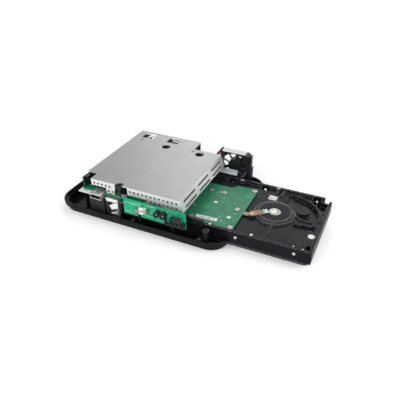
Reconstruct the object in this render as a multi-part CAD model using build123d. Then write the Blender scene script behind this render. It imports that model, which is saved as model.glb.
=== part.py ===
from build123d import *
import math
import os

# Media player with a slide-out hard drive, its top cover off.
# Millimetres, +Z up. The origin is the middle of the whole part's underside, with the drive
# standing out of the bay as far as DRIVE_OVERHANG says. +X is the way the drive slides out,
# -Y is the front, where the indicator lights and the power key are.

# ---------------------------------------------------------------- driving dimensions
# Case base, a shallow moulded tray
BAY_TO_LEFT = 56.9           # base's left side to the drive, fully home
BAY_TO_BACK = 26.9           # drive's far side to the base's back
BASE_CORNER = 22.0
RIM_HEIGHT = 12.8        # rim above the underside
LIP_HEIGHT = 4.5         # the flat band round the rim
LIP_OVERHANG = 3.0       # band stands out past the lower wall
LIP_WALL = 2.2
REBATE_DEPTH = 2.5       # step inside the band that the top cover drops into
WALL = 2.0
FLOOR = 2.0
BELLY_RADIUS = 4.0
RIM_ROUND = 0.7

FOOT_STAND = 1.7         # rubber feet below the underside
FOOT_RADIUS = 6.0
FOOT_RECESS = 0.6
FOOT_INSET = 24.0

VENT_WIDTH = 1.6
VENT_PITCH = 3.5
VENT_LENGTH = 5.5
SIDE_VENT_LENGTH = 9.0
VENT_TO_WALL = 0.6

COVER_BOSS_RADIUS = 3.7
COVER_BOSS_HEIGHT = 21.0     # above the tray floor
COVER_SCREW_HOLE = 1.25

# 3.5 inch hard drive, 20 mm slim type, circuit board up
DRIVE_LENGTH = 147.0
DRIVE_WIDTH = 101.6
DRIVE_HEIGHT = 20.0
DRIVE_OVERHANG = 83.0        # past the base's right side, as it rests
DRIVE_SETBACK = 17.0         # from the base's front
DRIVE_FLOOR_GAP = 0.8
DRIVE_HOME_INSET = 2.0       # inside the base's right side when fully home
CASTING_HEIGHT = 14.6
CASTING_WALL = 3.0
DECK_DEPTH = 3.0             # casting deck below the rails
CAVITY_CEILING = 9.5         # platter cavity below the rails
SIDE_HOLE_X = (28.5, 70.1, 130.1)
SIDE_HOLE_DROP = 6.35
SIDE_HOLE_DEPTH = 2.4
BOTTOM_HOLE_X = (41.28, 85.73)
BOTTOM_HOLE_Y = 3.18
BOTTOM_HOLE_DEPTH = 3.6
DRIVE_HOLE_RADIUS = 1.6
HUB_TO_RIGHT = 52.1          # spindle to the drive's right end
HUB_OFFSET = 0.9             # spindle beyond the drive's middle line
MOTOR_RADIUS = 18.9
MOTOR_RING_RADIUS = 22.0
MOTOR_DISC = 1.5
SHAFT_CAP_RADIUS = 6.6
SHAFT_CAP_THICK = 0.5
PLATTER_RADIUS = 47.5
PLATTER_THICK = 1.27
PLATTER_DROP = 11.6          # platter's upper face below the rails
PLATTER_BORE = 12.5
ROTOR_RADIUS = 12.2
CLAMP_RADIUS = 16.0
CLAMP_THICK = 1.6
ARM_PIVOT_X = 46.0
ARM_PIVOT_Y = 72.0
ARM_REACH = 50.0
ARM_THICK = 1.4
ARM_HUB_RADIUS = 4.8
HEAD_PARK_GAP = 2.0        # parked head, clear of the platter's rim
PIVOT_POST_RADIUS = 3.0
RUNNING_GAP = 0.05
DRIVE_BOARD_THICK = 1.0
DRIVE_BOARD_DROP = 1.0       # board's outer face below the rails
DRIVE_SCREW_HEAD = 2.9
DRIVE_COVER_THICK = 0.8
DRIVE_COVER_INSET = 3.0
PLUG_WIDTH = 42.0
PLUG_HEIGHT = 5.2
PLUG_DEPTH = 5.0
PLUG_Y = 58.0
PLUG_DROP = 5.6              # plug's centre line below the rails
BLADE_THICK = 1.2
LABEL_THICK = 0.12

# Drive bay
BAY_SIDE_GAP = 0.5
RAIL_WALL = 2.0
RAIL_LEDGE = 2.9
RAIL_LEDGE_HEIGHT = 2.3
RAIL_SEAT_GAP = 0.3
RAIL_LOW_TOP = 1.6           # rail top above the drive's rail plane, under the plate
RAIL_HIGH_TOP = 5.4          # and where it stands clear in front of the plate
RAIL_BAND = 0.8
RAIL_BAND_HEIGHT = 7.9
RAIL_ROUND = 3.5
RAIL_FOOT = 8.0
RAIL_FOOT_THICK = 2.0
SCREW_RADIUS = 1.4

# Boards
BOARD_THICK = 1.6
BOARD_RAISE = 10.5           # main board's top above the drive's rail plane
BOARD_FRONT_SETBACK = 10.0
BOARD_LEFT_INSET = 33.3      # insets are from the base's sides
BOARD_RIGHT_INSET = 50.0
BOARD_BACK_INSET = 4.5
BOARD_STEP_X = 82.6          # from the board's left edge to the step in its back
BOARD_STEP_DEPTH = 14.0
PLATE_THICK = 0.8
PLATE_LEFT_INSET = 23.9
PLATE_RIGHT_INSET = 58.0
PLATE_SETBACK = 12.4
PLATE_PAST_DRIVE = 4.4
SPACER_RADIUS = 2.6
BOARD_SCREW_HEAD = 2.8
BOARD_SCREW_HEAD_HEIGHT = 1.6
SIDE_BOARD_HEIGHT = 12.2
SIDE_BOARD_LENGTH = 36.0
PROCESSOR_SIZE = 27.0
PROCESSOR_HEIGHT = 2.2
SINK_HEIGHT = 8.0
SINK_FINS = 7
MEMORY_LENGTH = 12.0
MEMORY_WIDTH = 10.0
CAN_RADIUS = 3.2
CAN_HEIGHT = 9.0

# Connectors on the board's back edge: left side from the board's left, width, depth, height
HDMI = (8.5, 15.0, 11.5, 6.2)
LAN = (26.5, 16.0, 17.0, 12.2)
OPTICAL = (48.0, 10.0, 12.5, 10.0)
VIDEO = (59.9, 7.2, 12.0, 7.4)
POWER = (69.0, 9.0, 13.5, 11.0)
PORT_GAP = 0.3

# Sheet-metal shield over the main board
SHEET = 0.8
SHIELD_HEIGHT = 13.5
SHIELD_LEFT_INSET = 32.9
SHIELD_RIGHT_INSET = 53.5
SHIELD_SETBACK = 11.6
SHIELD_BACK_INSET = 4.0
SHIELD_STEP_X = 84.0
SHIELD_STEP_DEPTH = 20.5
SHIELD_NOTCH = 12.0
SHIELD_SLOPE_OUT = 4.6       # how far the right flange leans out at its foot
VENT_HOLE_RADIUS = 1.3
VENT_HOLE_PITCH = 5.0
UPPER_ROW_DROP = 4.6
LOWER_ROW_DROP = 10.6
SIDE_SLOTS = 3
SIDE_SLOT_GAP = 7.6
SIDE_SLOT_WIDTH = 1.9
TOP_HOLE_RADIUS = 5.2
SMALL_HOLE_RADIUS = 1.5

# Front connectors and controls
USB_WIDTH = 13.5
USB_HEIGHT = 5.6
USB_DEPTH = 14.0
USB_SHEET = 0.4
USB_X = 55.7                 # socket's middle, from the base's left
USB_SETBACK = 2.0            # mouth, from the base's front
RISER_WIDTH = 19.7
RISER_SETBACK = 5.3
RISER_DEPTH = 6.8
CAGE_WIDTH = 15.5
CAGE_HEIGHT = 19.5
CAGE_PLATE_GAP = 0.3
CAGE_X = 74.0
FRONT_BOARD_LENGTH = 73.3
FRONT_BOARD_HEIGHT = 18.6
FRONT_BOARD_RIGHT_INSET = 43.2
FRONT_BOARD_SETBACK = 5.0
FRONT_BOARD_RAISE = 16.8     # board's lower edge above the tray floor
LAMP_RADIUS = 3.3
LAMP_LENGTH = 6.5
LAMP_PITCH = 7.2
KEY_FRAME_BAR = 2.0
KEY_THICK = 1.6
KEY_TRAVEL_GAP = 1.0
KEY_PIN_RADIUS = 0.8
KEY_PIN_SPREAD = 5.2
SWITCH_SIZE = 6.0
SWITCH_DEPTH = 1.9

# Fan
FAN_SIZE = 35.0
FAN_DEPTH = 10.0
FAN_BORE_RADIUS = 16.8
FAN_HUB_RADIUS = 8.4
FAN_TIP_GAP = 0.6
FAN_HOLE_SPACING = 29.0
FAN_HOLE_RADIUS = 1.6
FAN_RIGHT_INSET = 23.3       # from the base's right
FAN_BACK_INSET = 2.5
FAN_RAISE = 8.6              # above the tray floor
FAN_BLADES = 9
BLADE_PITCH = 40.0
BLADE_CHORD = 10.6
FAN_FIT = 0.2
FAN_SHAFT_RADIUS = 1.5
LEAD_RADIUS = 0.55

# ---------------------------------------------------------------- places worked out from them
BASE_LENGTH = BAY_TO_LEFT + DRIVE_LENGTH + DRIVE_HOME_INSET
BASE_DEPTH = DRIVE_SETBACK + DRIVE_WIDTH + BAY_TO_BACK
BASE_X = -DRIVE_OVERHANG / 2
BASE_LEFT = BASE_X - BASE_LENGTH / 2
BASE_RIGHT = BASE_X + BASE_LENGTH / 2
BASE_FRONT = -BASE_DEPTH / 2
BASE_BACK = BASE_DEPTH / 2
UNDERSIDE_Z = FOOT_STAND
FLOOR_Z = UNDERSIDE_Z + FLOOR
RIM_Z = UNDERSIDE_Z + RIM_HEIGHT
LIP_Z = RIM_Z - LIP_HEIGHT
INNER_INSET = LIP_OVERHANG + WALL
FLOOR_FRONT = BASE_FRONT + INNER_INSET
FLOOR_LEFT = BASE_LEFT + INNER_INSET
FLOOR_BACK = BASE_BACK - INNER_INSET

DRIVE_X = BASE_RIGHT + DRIVE_OVERHANG - DRIVE_LENGTH
DRIVE_Y = BASE_FRONT + DRIVE_SETBACK
DRIVE_FAR_Y = DRIVE_Y + DRIVE_WIDTH
DRIVE_BOTTOM_Z = FLOOR_Z + DRIVE_FLOOR_GAP
DRIVE_Z = DRIVE_BOTTOM_Z + DRIVE_HEIGHT
DRIVE_HOME_TRAVEL = DRIVE_OVERHANG + DRIVE_HOME_INSET
DRIVE_HOME_X = DRIVE_X - DRIVE_HOME_TRAVEL

BOARD_TOP_Z = DRIVE_Z + BOARD_RAISE
BOARD_Z = BOARD_TOP_Z - BOARD_THICK
BOARD_LEFT = BASE_LEFT + BOARD_LEFT_INSET
BOARD_RIGHT = BASE_RIGHT - BOARD_RIGHT_INSET
BOARD_FRONT = BASE_FRONT + BOARD_FRONT_SETBACK
BOARD_BACK = BASE_BACK - BOARD_BACK_INSET
BOARD_STEP_Y = BOARD_BACK - BOARD_STEP_DEPTH
PLATE_Z = DRIVE_Z + RAIL_LOW_TOP
PLATE_TOP_Z = PLATE_Z + PLATE_THICK
PLATE_LEFT = BASE_LEFT + PLATE_LEFT_INSET
PLATE_RIGHT = BASE_RIGHT - PLATE_RIGHT_INSET
PLATE_FRONT = BASE_FRONT + PLATE_SETBACK
PLATE_BACK = DRIVE_FAR_Y + PLATE_PAST_DRIVE

SHIELD_TOP_Z = BOARD_TOP_Z + SHIELD_HEIGHT
SHIELD_LEFT = BASE_LEFT + SHIELD_LEFT_INSET
SHIELD_RIGHT = BASE_RIGHT - SHIELD_RIGHT_INSET
SHIELD_FRONT = BASE_FRONT + SHIELD_SETBACK
SHIELD_BACK = BASE_BACK - SHIELD_BACK_INSET
SHIELD_STEP_Y = SHIELD_BACK - SHIELD_STEP_DEPTH

BAY_NEAR = DRIVE_Y - BAY_SIDE_GAP
BAY_FAR = DRIVE_FAR_Y + BAY_SIDE_GAP
RAIL_START = DRIVE_HOME_X - 1.0
RAIL_END = BASE_RIGHT - 28.0
RAIL_HIGH_START = PLATE_RIGHT + 2.5
FRONT_BOARD_FACE = BASE_FRONT + FRONT_BOARD_SETBACK
FRONT_BOARD_BACK = FRONT_BOARD_FACE + BOARD_THICK
FRONT_BOARD_LEFT = BASE_RIGHT - FRONT_BOARD_RIGHT_INSET - FRONT_BOARD_LENGTH
FRONT_BOARD_Z = FLOOR_Z + FRONT_BOARD_RAISE
FRONT_SCREW_X = FRONT_BOARD_LEFT + 15.8
FRONT_SCREW_Z = FRONT_BOARD_Z + 7.2
FAN_X = BASE_RIGHT - FAN_RIGHT_INSET - FAN_SIZE
FAN_Y = BASE_BACK - FAN_BACK_INSET - FAN_DEPTH
FAN_Z = FLOOR_Z + FAN_RAISE
FAN_CX = FAN_X + FAN_SIZE / 2
FAN_CZ = FAN_Z + FAN_SIZE / 2
PLATTER_Z = DRIVE_Z - PLATTER_DROP - PLATTER_THICK
HUB_X = DRIVE_LENGTH - HUB_TO_RIGHT
HUB_Y = DRIVE_WIDTH / 2 + HUB_OFFSET

os.makedirs("parts", exist_ok=True)


# ---------------------------------------------------------------- helpers
def block(x0, x1, y0, y1, z0, z1):
    """A box between two corners."""
    return Pos((x0 + x1) / 2, (y0 + y1) / 2, (z0 + z1) / 2) * Box(x1 - x0, y1 - y0, z1 - z0)


def rounded_block(x0, x1, y0, y1, z0, z1, radius):
    """A box with its four upright edges rounded."""
    outline = RectangleRounded(x1 - x0, y1 - y0, radius)
    return Pos((x0 + x1) / 2, (y0 + y1) / 2, z0) * extrude(outline, z1 - z0)


def post(x, y, z0, z1, radius):
    """An upright cylinder."""
    return Pos(x, y, (z0 + z1) / 2) * Cylinder(radius, z1 - z0)


def rod_y(x, z, y0, y1, radius):
    """A cylinder lying along Y."""
    return Pos(x, (y0 + y1) / 2, z) * Rot(90, 0, 0) * Cylinder(radius, y1 - y0)


def prism(points, z0, z1):
    """A flat outline in plan, drawn up from z0 to z1."""
    return Pos(0, 0, z0) * extrude(make_face(Polyline(*points, close=True)), z1 - z0)


def tube_along(points, start, end, radius):
    """A round lead along a smooth curve through points, leaving and arriving along two directions."""
    path = Spline(*points, tangents=[start, end])
    plane = Plane(origin=path @ 0, z_dir=path % 0)
    return sweep(plane * Circle(radius), path=path)


def write(name, shape, color):
    """Keeps one node: a solid, or a group of separate solids."""
    solids = list(shape) if isinstance(shape, (list, ShapeList)) else shape.solids()
    node = solids[0] if len(solids) == 1 else Compound(children=solids)
    node.label = name
    node.color = Color(*color)
    export_step(node, f"parts/{name}.step")


BLACK = (0.03, 0.03, 0.035)
STEEL = (0.75, 0.75, 0.76)
GREEN = (0.02, 0.35, 0.2)
WHITE = (0.85, 0.85, 0.83)
BRASS = (0.75, 0.6, 0.3)


# ---------------------------------------------------------------- case base
def base_rim_outline(inset, z0, z1):
    radius = BASE_CORNER - inset
    return rounded_block(BASE_LEFT + inset, BASE_RIGHT - inset,
                         BASE_FRONT + inset, BASE_BACK - inset, z0, z1, radius)


COVER_BOSSES = (
    (BASE_RIGHT - 21.8, BASE_FRONT + 7.4),
    (BASE_LEFT + 11.5, BASE_BACK - 11.5),
    (BASE_RIGHT - 78.0, BASE_BACK - 9.5),
)
PLATE_POSTS = ((PLATE_LEFT + 6.0, PLATE_FRONT + 7.6), (PLATE_LEFT + 6.0, PLATE_BACK - 8.0))
# the front board's posts, and how far each one's lip stands up the board's face
BOARD_POSTS = ((FRONT_BOARD_LEFT + 19.5, 3.2), (FRONT_BOARD_LEFT + 59.1, 0.6))
RAIL_FEET = (RAIL_START + 38.0, RAIL_END - RAIL_FOOT / 2)
NEAR_FOOT_Y = BAY_NEAR - RAIL_WALL - 2.6
FAR_FOOT_Y = BAY_FAR + RAIL_WALL + 2.6


def front_board_post(x, lip):
    """A slotted post that holds the front board's lower edge."""
    y0 = FRONT_BOARD_FACE - 1.8
    y1 = FRONT_BOARD_BACK + 1.2
    stem = block(x - 1.1, x + 1.1, y0, y1, FLOOR_Z, FRONT_BOARD_Z + lip)
    slot = block(x - 2, x + 2, FRONT_BOARD_FACE - 0.1, FRONT_BOARD_BACK + 0.1,
                 FRONT_BOARD_Z, FRONT_BOARD_Z + 4)
    return stem - slot


def base_tray():
    lip = base_rim_outline(0, LIP_Z, RIM_Z)
    lip = fillet(lip.faces().sort_by(Axis.Z)[-1].edges(), RIM_ROUND)
    belly = base_rim_outline(LIP_OVERHANG, UNDERSIDE_Z, LIP_Z)
    belly = fillet(belly.faces().sort_by(Axis.Z)[0].edges(), BELLY_RADIUS)
    tray = lip + belly
    tray -= base_rim_outline(INNER_INSET, FLOOR_Z, RIM_Z + 1)
    tray -= base_rim_outline(LIP_WALL, RIM_Z - REBATE_DEPTH, RIM_Z + 1)
    # the bay's mouth, through the right side
    tray -= block(BASE_RIGHT - INNER_INSET - 3, BASE_RIGHT + 1, BAY_NEAR, BAY_FAR, FLOOR_Z, RIM_Z + 1)
    # the fan blows out over the back wall
    tray -= block(FAN_X - FAN_FIT, FAN_X + FAN_SIZE + FAN_FIT, FLOOR_BACK - 1, BASE_BACK + 1,
                  FAN_Z - 3.6, RIM_Z + 1)
    for x, y in COVER_BOSSES:
        boss_top = FLOOR_Z + COVER_BOSS_HEIGHT
        tray += post(x, y, FLOOR_Z, boss_top, COVER_BOSS_RADIUS)
        tray -= post(x, y, boss_top - 12, boss_top + 1, COVER_SCREW_HOLE)
    for x, y in PLATE_POSTS:
        tray += post(x, y, FLOOR_Z, PLATE_Z, 3.0)
        tray -= post(x, y, PLATE_Z - 8, PLATE_Z + 1, SCREW_RADIUS)
    for x, lip in BOARD_POSTS:
        tray += front_board_post(x, lip)
    vent_y = FLOOR_FRONT + VENT_TO_WALL
    count = int((FRONT_BOARD_LEFT + FRONT_BOARD_LENGTH - FLOOR_LEFT - 16) / VENT_PITCH)
    cuts = []
    for i in range(count):
        x = FLOOR_LEFT + 16 + i * VENT_PITCH
        if all(abs(x - foot) > RAIL_FOOT / 2 + 1 for foot in RAIL_FEET):
            cuts.append(block(x - VENT_WIDTH / 2, x + VENT_WIDTH / 2, vent_y, vent_y + VENT_LENGTH,
                              UNDERSIDE_Z - 1, FLOOR_Z + 1))
    side_count = int((BASE_DEPTH - 2 * BASE_CORNER) / VENT_PITCH)
    for i in range(side_count):
        y = BASE_FRONT + BASE_CORNER + i * VENT_PITCH
        cuts.append(block(FLOOR_LEFT + 1.5, FLOOR_LEFT + 1.5 + SIDE_VENT_LENGTH,
                          y - VENT_WIDTH / 2, y + VENT_WIDTH / 2, UNDERSIDE_Z - 1, FLOOR_Z + 1))
    tray -= cuts
    for x, y in foot_places():
        tray -= post(x, y, UNDERSIDE_Z - 1, UNDERSIDE_Z + FOOT_RECESS, FOOT_RADIUS + 0.1)
    for x in RAIL_FEET:
        for y in (NEAR_FOOT_Y, FAR_FOOT_Y):
            tray -= post(x, y, UNDERSIDE_Z + 0.6, FLOOR_Z + 1, SCREW_RADIUS)
    return tray


def foot_places():
    for x in (BASE_LEFT + FOOT_INSET, BASE_RIGHT - FOOT_INSET):
        for y in (BASE_FRONT + FOOT_INSET, BASE_BACK - FOOT_INSET):
            yield x, y


def rubber_feet():
    feet = []
    for x, y in foot_places():
        foot = post(x, y, 0, UNDERSIDE_Z + FOOT_RECESS, FOOT_RADIUS)
        feet.append(fillet(foot.edges().sort_by(Axis.Z)[0], 0.5))
    return feet


write("base_tray", base_tray(), BLACK)
write("rubber_feet", rubber_feet(), (0.08, 0.08, 0.08))


# ---------------------------------------------------------------- drive bay
def bay_rail(face, side):
    """One side of the bay. face is the wall's inner face, side is -1 near and +1 far."""
    ledge_top = DRIVE_Z - CASTING_HEIGHT - RAIL_SEAT_GAP
    outer = face + side * RAIL_WALL
    low, high = sorted((face, outer))
    rail = block(RAIL_START, RAIL_END, low, high, FLOOR_Z, PLATE_Z)
    y0, y1 = sorted((face, face - side * RAIL_LEDGE))
    rail += block(RAIL_START, RAIL_END, y0, y1, ledge_top - RAIL_LEDGE_HEIGHT, ledge_top)
    for x in RAIL_FEET:
        foot_y = outer + side * 5.2
        y0, y1 = sorted((outer, foot_y))
        rail += block(x - RAIL_FOOT / 2, x + RAIL_FOOT / 2, y0, y1, FLOOR_Z, FLOOR_Z + RAIL_FOOT_THICK)
        rail -= post(x, outer + side * 2.6, FLOOR_Z - 1, FLOOR_Z + 4, SCREW_RADIUS + 0.15)
    return rail


def near_bay_rail():
    rail = bay_rail(BAY_NEAR, -1)
    top = DRIVE_Z + RAIL_HIGH_TOP
    outer = BAY_NEAR - RAIL_WALL
    upper = block(RAIL_HIGH_START, RAIL_END, outer, BAY_NEAR, PLATE_Z - 6, top)
    band = block(RAIL_HIGH_START, RAIL_END, outer - RAIL_BAND, BAY_NEAR, top - RAIL_BAND_HEIGHT, top)
    upper += band
    corner = upper.edges().filter_by(Axis.Y).sort_by(Axis.X)[-3:].sort_by(Axis.Z)[-1]
    upper = fillet(corner, RAIL_ROUND)
    rail += upper
    # a hole through the raised part, where the bay's door latch hooks in
    rail -= rod_y(RAIL_END - 5.2, DRIVE_Z - 0.6, outer - 2, BAY_NEAR + 0.5, 0.9)
    return rail


def pan_screw(x, y, seat, shank):
    """A pan head screw, driven down onto its seat."""
    screw = post(x, y, seat - shank, seat, SCREW_RADIUS - 0.05) + post(x, y, seat, seat + 1.4, 2.4)
    return screw


def base_screws():
    """The screws that hold the bay rails and the plate to the tray, and the one on the front board."""
    screws = []
    for x in RAIL_FEET:
        for y in (NEAR_FOOT_Y, FAR_FOOT_Y):
            screws.append(pan_screw(x, y, FLOOR_Z + RAIL_FOOT_THICK, 3.0))
    for x, y in PLATE_POSTS:
        screws.append(pan_screw(x, y, PLATE_TOP_Z, 6.0))
    front = rod_y(FRONT_SCREW_X, FRONT_SCREW_Z, FRONT_BOARD_FACE - 1.2, FRONT_BOARD_FACE, 2.3)
    front += rod_y(FRONT_SCREW_X, FRONT_SCREW_Z, FRONT_BOARD_FACE - 0.2, FRONT_BOARD_BACK + 1.2,
                   SCREW_RADIUS - 0.05)
    screws.append(front)
    return screws


write("near_bay_rail", near_bay_rail(), BLACK)
write("far_bay_rail", bay_rail(BAY_FAR, 1), BLACK)
write("base_screws", base_screws(), STEEL)

# ---------------------------------------------------------------- plate, main board and what is on it
SPACER_PLACES = (
    (BOARD_LEFT + 5.6, BOARD_FRONT + 10.0),
    (BOARD_LEFT + 5.6, BOARD_BACK - 27.0),
    (BOARD_LEFT + 62.0, BOARD_FRONT + 10.0),
    (BOARD_LEFT + 62.0, BOARD_BACK - 27.0),
    (BOARD_RIGHT - 14.0, BOARD_FRONT + 7.5),
    (BOARD_RIGHT - 14.0, BOARD_STEP_Y - 20.0),
)


def lower_plate():
    plate = block(PLATE_LEFT, PLATE_RIGHT, PLATE_FRONT, PLATE_BACK, PLATE_Z, PLATE_TOP_Z)
    for x, y in PLATE_POSTS:
        plate -= post(x, y, PLATE_Z - 1, PLATE_TOP_Z + 1, SCREW_RADIUS + 0.15)
    return plate


def board_spacers():
    return [post(x, y, PLATE_TOP_Z, BOARD_Z, SPACER_RADIUS) - post(x, y, BOARD_Z - 5, BOARD_Z + 1, SCREW_RADIUS)
            for x, y in SPACER_PLACES]


USB_CX = BASE_LEFT + USB_X
USB_FRONT = BASE_FRONT + USB_SETBACK
USB_TOP_Z = BOARD_TOP_Z + 0.8


def main_board():
    board = block(BOARD_LEFT, BOARD_RIGHT, BOARD_FRONT, BOARD_STEP_Y, BOARD_Z, BOARD_TOP_Z)
    board += block(BOARD_LEFT, BOARD_LEFT + BOARD_STEP_X, BOARD_FRONT, BOARD_BACK, BOARD_Z, BOARD_TOP_Z)
    gap = 0.3
    board -= block(USB_CX - USB_WIDTH / 2 - gap, USB_CX + USB_WIDTH / 2 + gap, BOARD_FRONT - 1,
                   USB_FRONT + USB_DEPTH + gap, BOARD_Z - 1, BOARD_TOP_Z + 1)
    for x, y in SPACER_PLACES:
        board -= post(x, y, BOARD_Z - 1, BOARD_TOP_Z + 1, SCREW_RADIUS + 0.15)
    return board


def board_screws():
    screws = []
    for x, y in SPACER_PLACES:
        head = post(x, y, BOARD_TOP_Z, BOARD_TOP_Z + BOARD_SCREW_HEAD_HEIGHT, BOARD_SCREW_HEAD)
        screws.append(head + post(x, y, BOARD_Z - 4, BOARD_TOP_Z, SCREW_RADIUS - 0.05))
    return screws


SIDE_BOARD_X = BOARD_LEFT + 0.2
SIDE_BOARD_Y = BOARD_FRONT + 1.8


def side_board():
    board = block(SIDE_BOARD_X, SIDE_BOARD_X + BOARD_THICK, SIDE_BOARD_Y, SIDE_BOARD_Y + SIDE_BOARD_LENGTH,
                  BOARD_TOP_Z, BOARD_TOP_Z + SIDE_BOARD_HEIGHT)
    return board


def small_parts():
    """What is soldered to the upright board's inner face, the header it stands in, and the row
    of small parts on the main board's front edge, seen through the shield's gap."""
    face = SIDE_BOARD_X + BOARD_THICK
    parts = [block(face, face + 1.2, SIDE_BOARD_Y + 4.5, SIDE_BOARD_Y + 11.5,
                   BOARD_TOP_Z + 4.6, BOARD_TOP_Z + 10.6)]
    for i in range(3):
        y = SIDE_BOARD_Y + 1.2 + i * 5.0
        parts.append(block(face, face + 0.9, y, y + 1.6, BOARD_TOP_Z + 2.4, BOARD_TOP_Z + 3.6))
    parts.append(block(face, face + 2.4, SIDE_BOARD_Y + 14, SIDE_BOARD_Y + SIDE_BOARD_LENGTH - 3,
                       BOARD_TOP_Z, BOARD_TOP_Z + 3.0))
    for i in range(3):
        x = BOARD_LEFT + 50.2 + i * 3.1
        parts.append(block(x, x + 2.0, SHIELD_FRONT + 1.3, SHIELD_FRONT + 2.6,
                           BOARD_TOP_Z, BOARD_TOP_Z + 1.1))
    return parts


PROCESSOR_X = BOARD_LEFT + 50
PROCESSOR_Y = BOARD_FRONT + 55
PROCESSOR_TOP_Z = BOARD_TOP_Z + PROCESSOR_HEIGHT


def media_processor():
    half = PROCESSOR_SIZE / 2
    return block(PROCESSOR_X - half, PROCESSOR_X + half, PROCESSOR_Y - half, PROCESSOR_Y + half,
                 BOARD_TOP_Z, PROCESSOR_TOP_Z)


def heat_sink():
    """A finned block on the processor, below the shield."""
    half = PROCESSOR_SIZE / 2 + 0.5
    floor = PROCESSOR_TOP_Z + 2.2
    sink = block(PROCESSOR_X - half, PROCESSOR_X + half, PROCESSOR_Y - half, PROCESSOR_Y + half,
                 PROCESSOR_TOP_Z, PROCESSOR_TOP_Z + SINK_HEIGHT)
    pitch = 2 * half / (SINK_FINS - 0.4)
    for i in range(SINK_FINS - 1):
        x = PROCESSOR_X - half + pitch * (i + 0.6)
        sink -= block(x, x + 0.4 * pitch, PROCESSOR_Y - half - 1, PROCESSOR_Y + half + 1,
                      floor, floor + SINK_HEIGHT)
    return sink


def memory_chips():
    chips = []
    for column in range(2):
        for row in range(2):
            x = PROCESSOR_X + PROCESSOR_SIZE / 2 + 3.5 + column * (MEMORY_WIDTH + 4)
            y = PROCESSOR_Y - 15 + row * (MEMORY_LENGTH + 3)
            chips.append(block(x, x + MEMORY_WIDTH, y, y + MEMORY_LENGTH, BOARD_TOP_Z, BOARD_TOP_Z + 1.2))
    return chips


def board_capacitors():
    """Upright electrolytic cans."""
    left, right = BOARD_LEFT, BOARD_RIGHT
    front, back = BOARD_FRONT, BOARD_BACK
    places = ((left + 30, front + 14), (left + 38, front + 14), (right - 26.6, front + 22),
              (right - 26.6, front + 31), (right - 18.6, front + 22), (left + 14, back - 35),
              (left + 22, back - 35), (right - 18.6, back - 55))
    return [post(x, y, BOARD_TOP_Z, BOARD_TOP_Z + CAN_HEIGHT, CAN_RADIUS) for x, y in places]


def insulating_tape():
    """Amber polyimide tape along the board's front edge, just in front of the shield's foot."""
    tapes = []
    for x, length in ((BOARD_RIGHT - 53.8, 11.0), (BOARD_RIGHT - 22.0, 9.5)):
        tapes.append(block(x, x + length, BOARD_FRONT + 0.2, SHIELD_FRONT - 0.2,
                           BOARD_TOP_Z, BOARD_TOP_Z + 0.25))
    return tapes


STOP_X = SHIELD_LEFT + 47.5
STOP_Y = SHIELD_FRONT + 1.8


def rubber_stop():
    """A black button on a stem, that stands up through the shield's front gap."""
    top = BOARD_TOP_Z + SHIELD_HEIGHT - 0.6
    stem = Pos(STOP_X, STOP_Y, BOARD_TOP_Z) * Cone(2.2, 1.7, 8.6, align=(Align.CENTER, Align.CENTER, Align.MIN))
    button = Pos(STOP_X, STOP_Y, top - 5.0) * Cone(2.8, 4.0, 5.0, align=(Align.CENTER, Align.CENTER, Align.MIN))
    return stem + button - post(STOP_X, STOP_Y, top - 1.6, top + 1, 2.6)


write("lower_plate", lower_plate(), STEEL)
write("board_spacers", board_spacers(), BRASS)
write("main_board", main_board(), GREEN)
write("board_screws", board_screws(), STEEL)
write("side_board", side_board(), GREEN)
write("small_parts", small_parts(), BLACK)
write("media_processor", media_processor(), BLACK)
write("heat_sink", heat_sink(), STEEL)
write("memory_chips", memory_chips(), BLACK)
write("board_capacitors", board_capacitors(), (0.1, 0.12, 0.3))
write("insulating_tape", insulating_tape(), (0.7, 0.3, 0.05))
write("rubber_stop", rubber_stop(), BLACK)

# ---------------------------------------------------------------- connectors on the back edge
def port_body(port):
    x, width, depth, height = port
    x0 = BOARD_LEFT + x
    return block(x0, x0 + width, BOARD_BACK - depth, BOARD_BACK, BOARD_TOP_Z, BOARD_TOP_Z + height)


def port_mouth(port, rim, z0, z1):
    """The hollow that a plug enters, with rim left at each side."""
    x, width, depth, height = port
    x0 = BOARD_LEFT + x
    return block(x0 + rim, x0 + width - rim, BOARD_BACK - depth * 0.75, BOARD_BACK + 1,
                 BOARD_TOP_Z + z0, BOARD_TOP_Z + height - z1)


def round_mouth(port, z, radius, y0, y1):
    """A rod or a bore on the port's centre line, between two distances in from the board's back."""
    return rod_y(BOARD_LEFT + port[0] + port[1] / 2, BOARD_TOP_Z + z, BOARD_BACK - y0, BOARD_BACK - y1, radius)


def lan_port():
    return port_body(LAN) - port_mouth(LAN, 2.0, 2.6, 2.6)


def hdmi_port():
    return port_body(HDMI) - port_mouth(HDMI, 0.7, 0.8, 0.8)


def optical_port():
    return port_body(OPTICAL) - port_mouth(OPTICAL, 2.0, 2.4, 2.4)


def power_jack():
    jack = port_body(POWER) - round_mouth(POWER, 6.5, 3.0, 9, -1)
    return jack + round_mouth(POWER, 6.5, 0.8, 10, 0.8)


def video_jack():
    return port_body(VIDEO) - round_mouth(VIDEO, 3.8, 1.8, 10, -1)


write("lan_port", lan_port(), STEEL)
write("hdmi_port", hdmi_port(), STEEL)
write("optical_port", optical_port(), BLACK)
write("power_jack", power_jack(), BLACK)
write("video_jack", video_jack(), BLACK)


# ---------------------------------------------------------------- shield
def hole_row(start, stop, z):
    """A row of round holes through the front flange, the last one's rim short of stop."""
    count = int((stop - VENT_HOLE_RADIUS - start) / VENT_HOLE_PITCH) + 1
    return [rod_y(start + i * VENT_HOLE_PITCH, z, SHIELD_FRONT - 1, SHIELD_FRONT + 2, VENT_HOLE_RADIUS)
            for i in range(count)]


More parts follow.
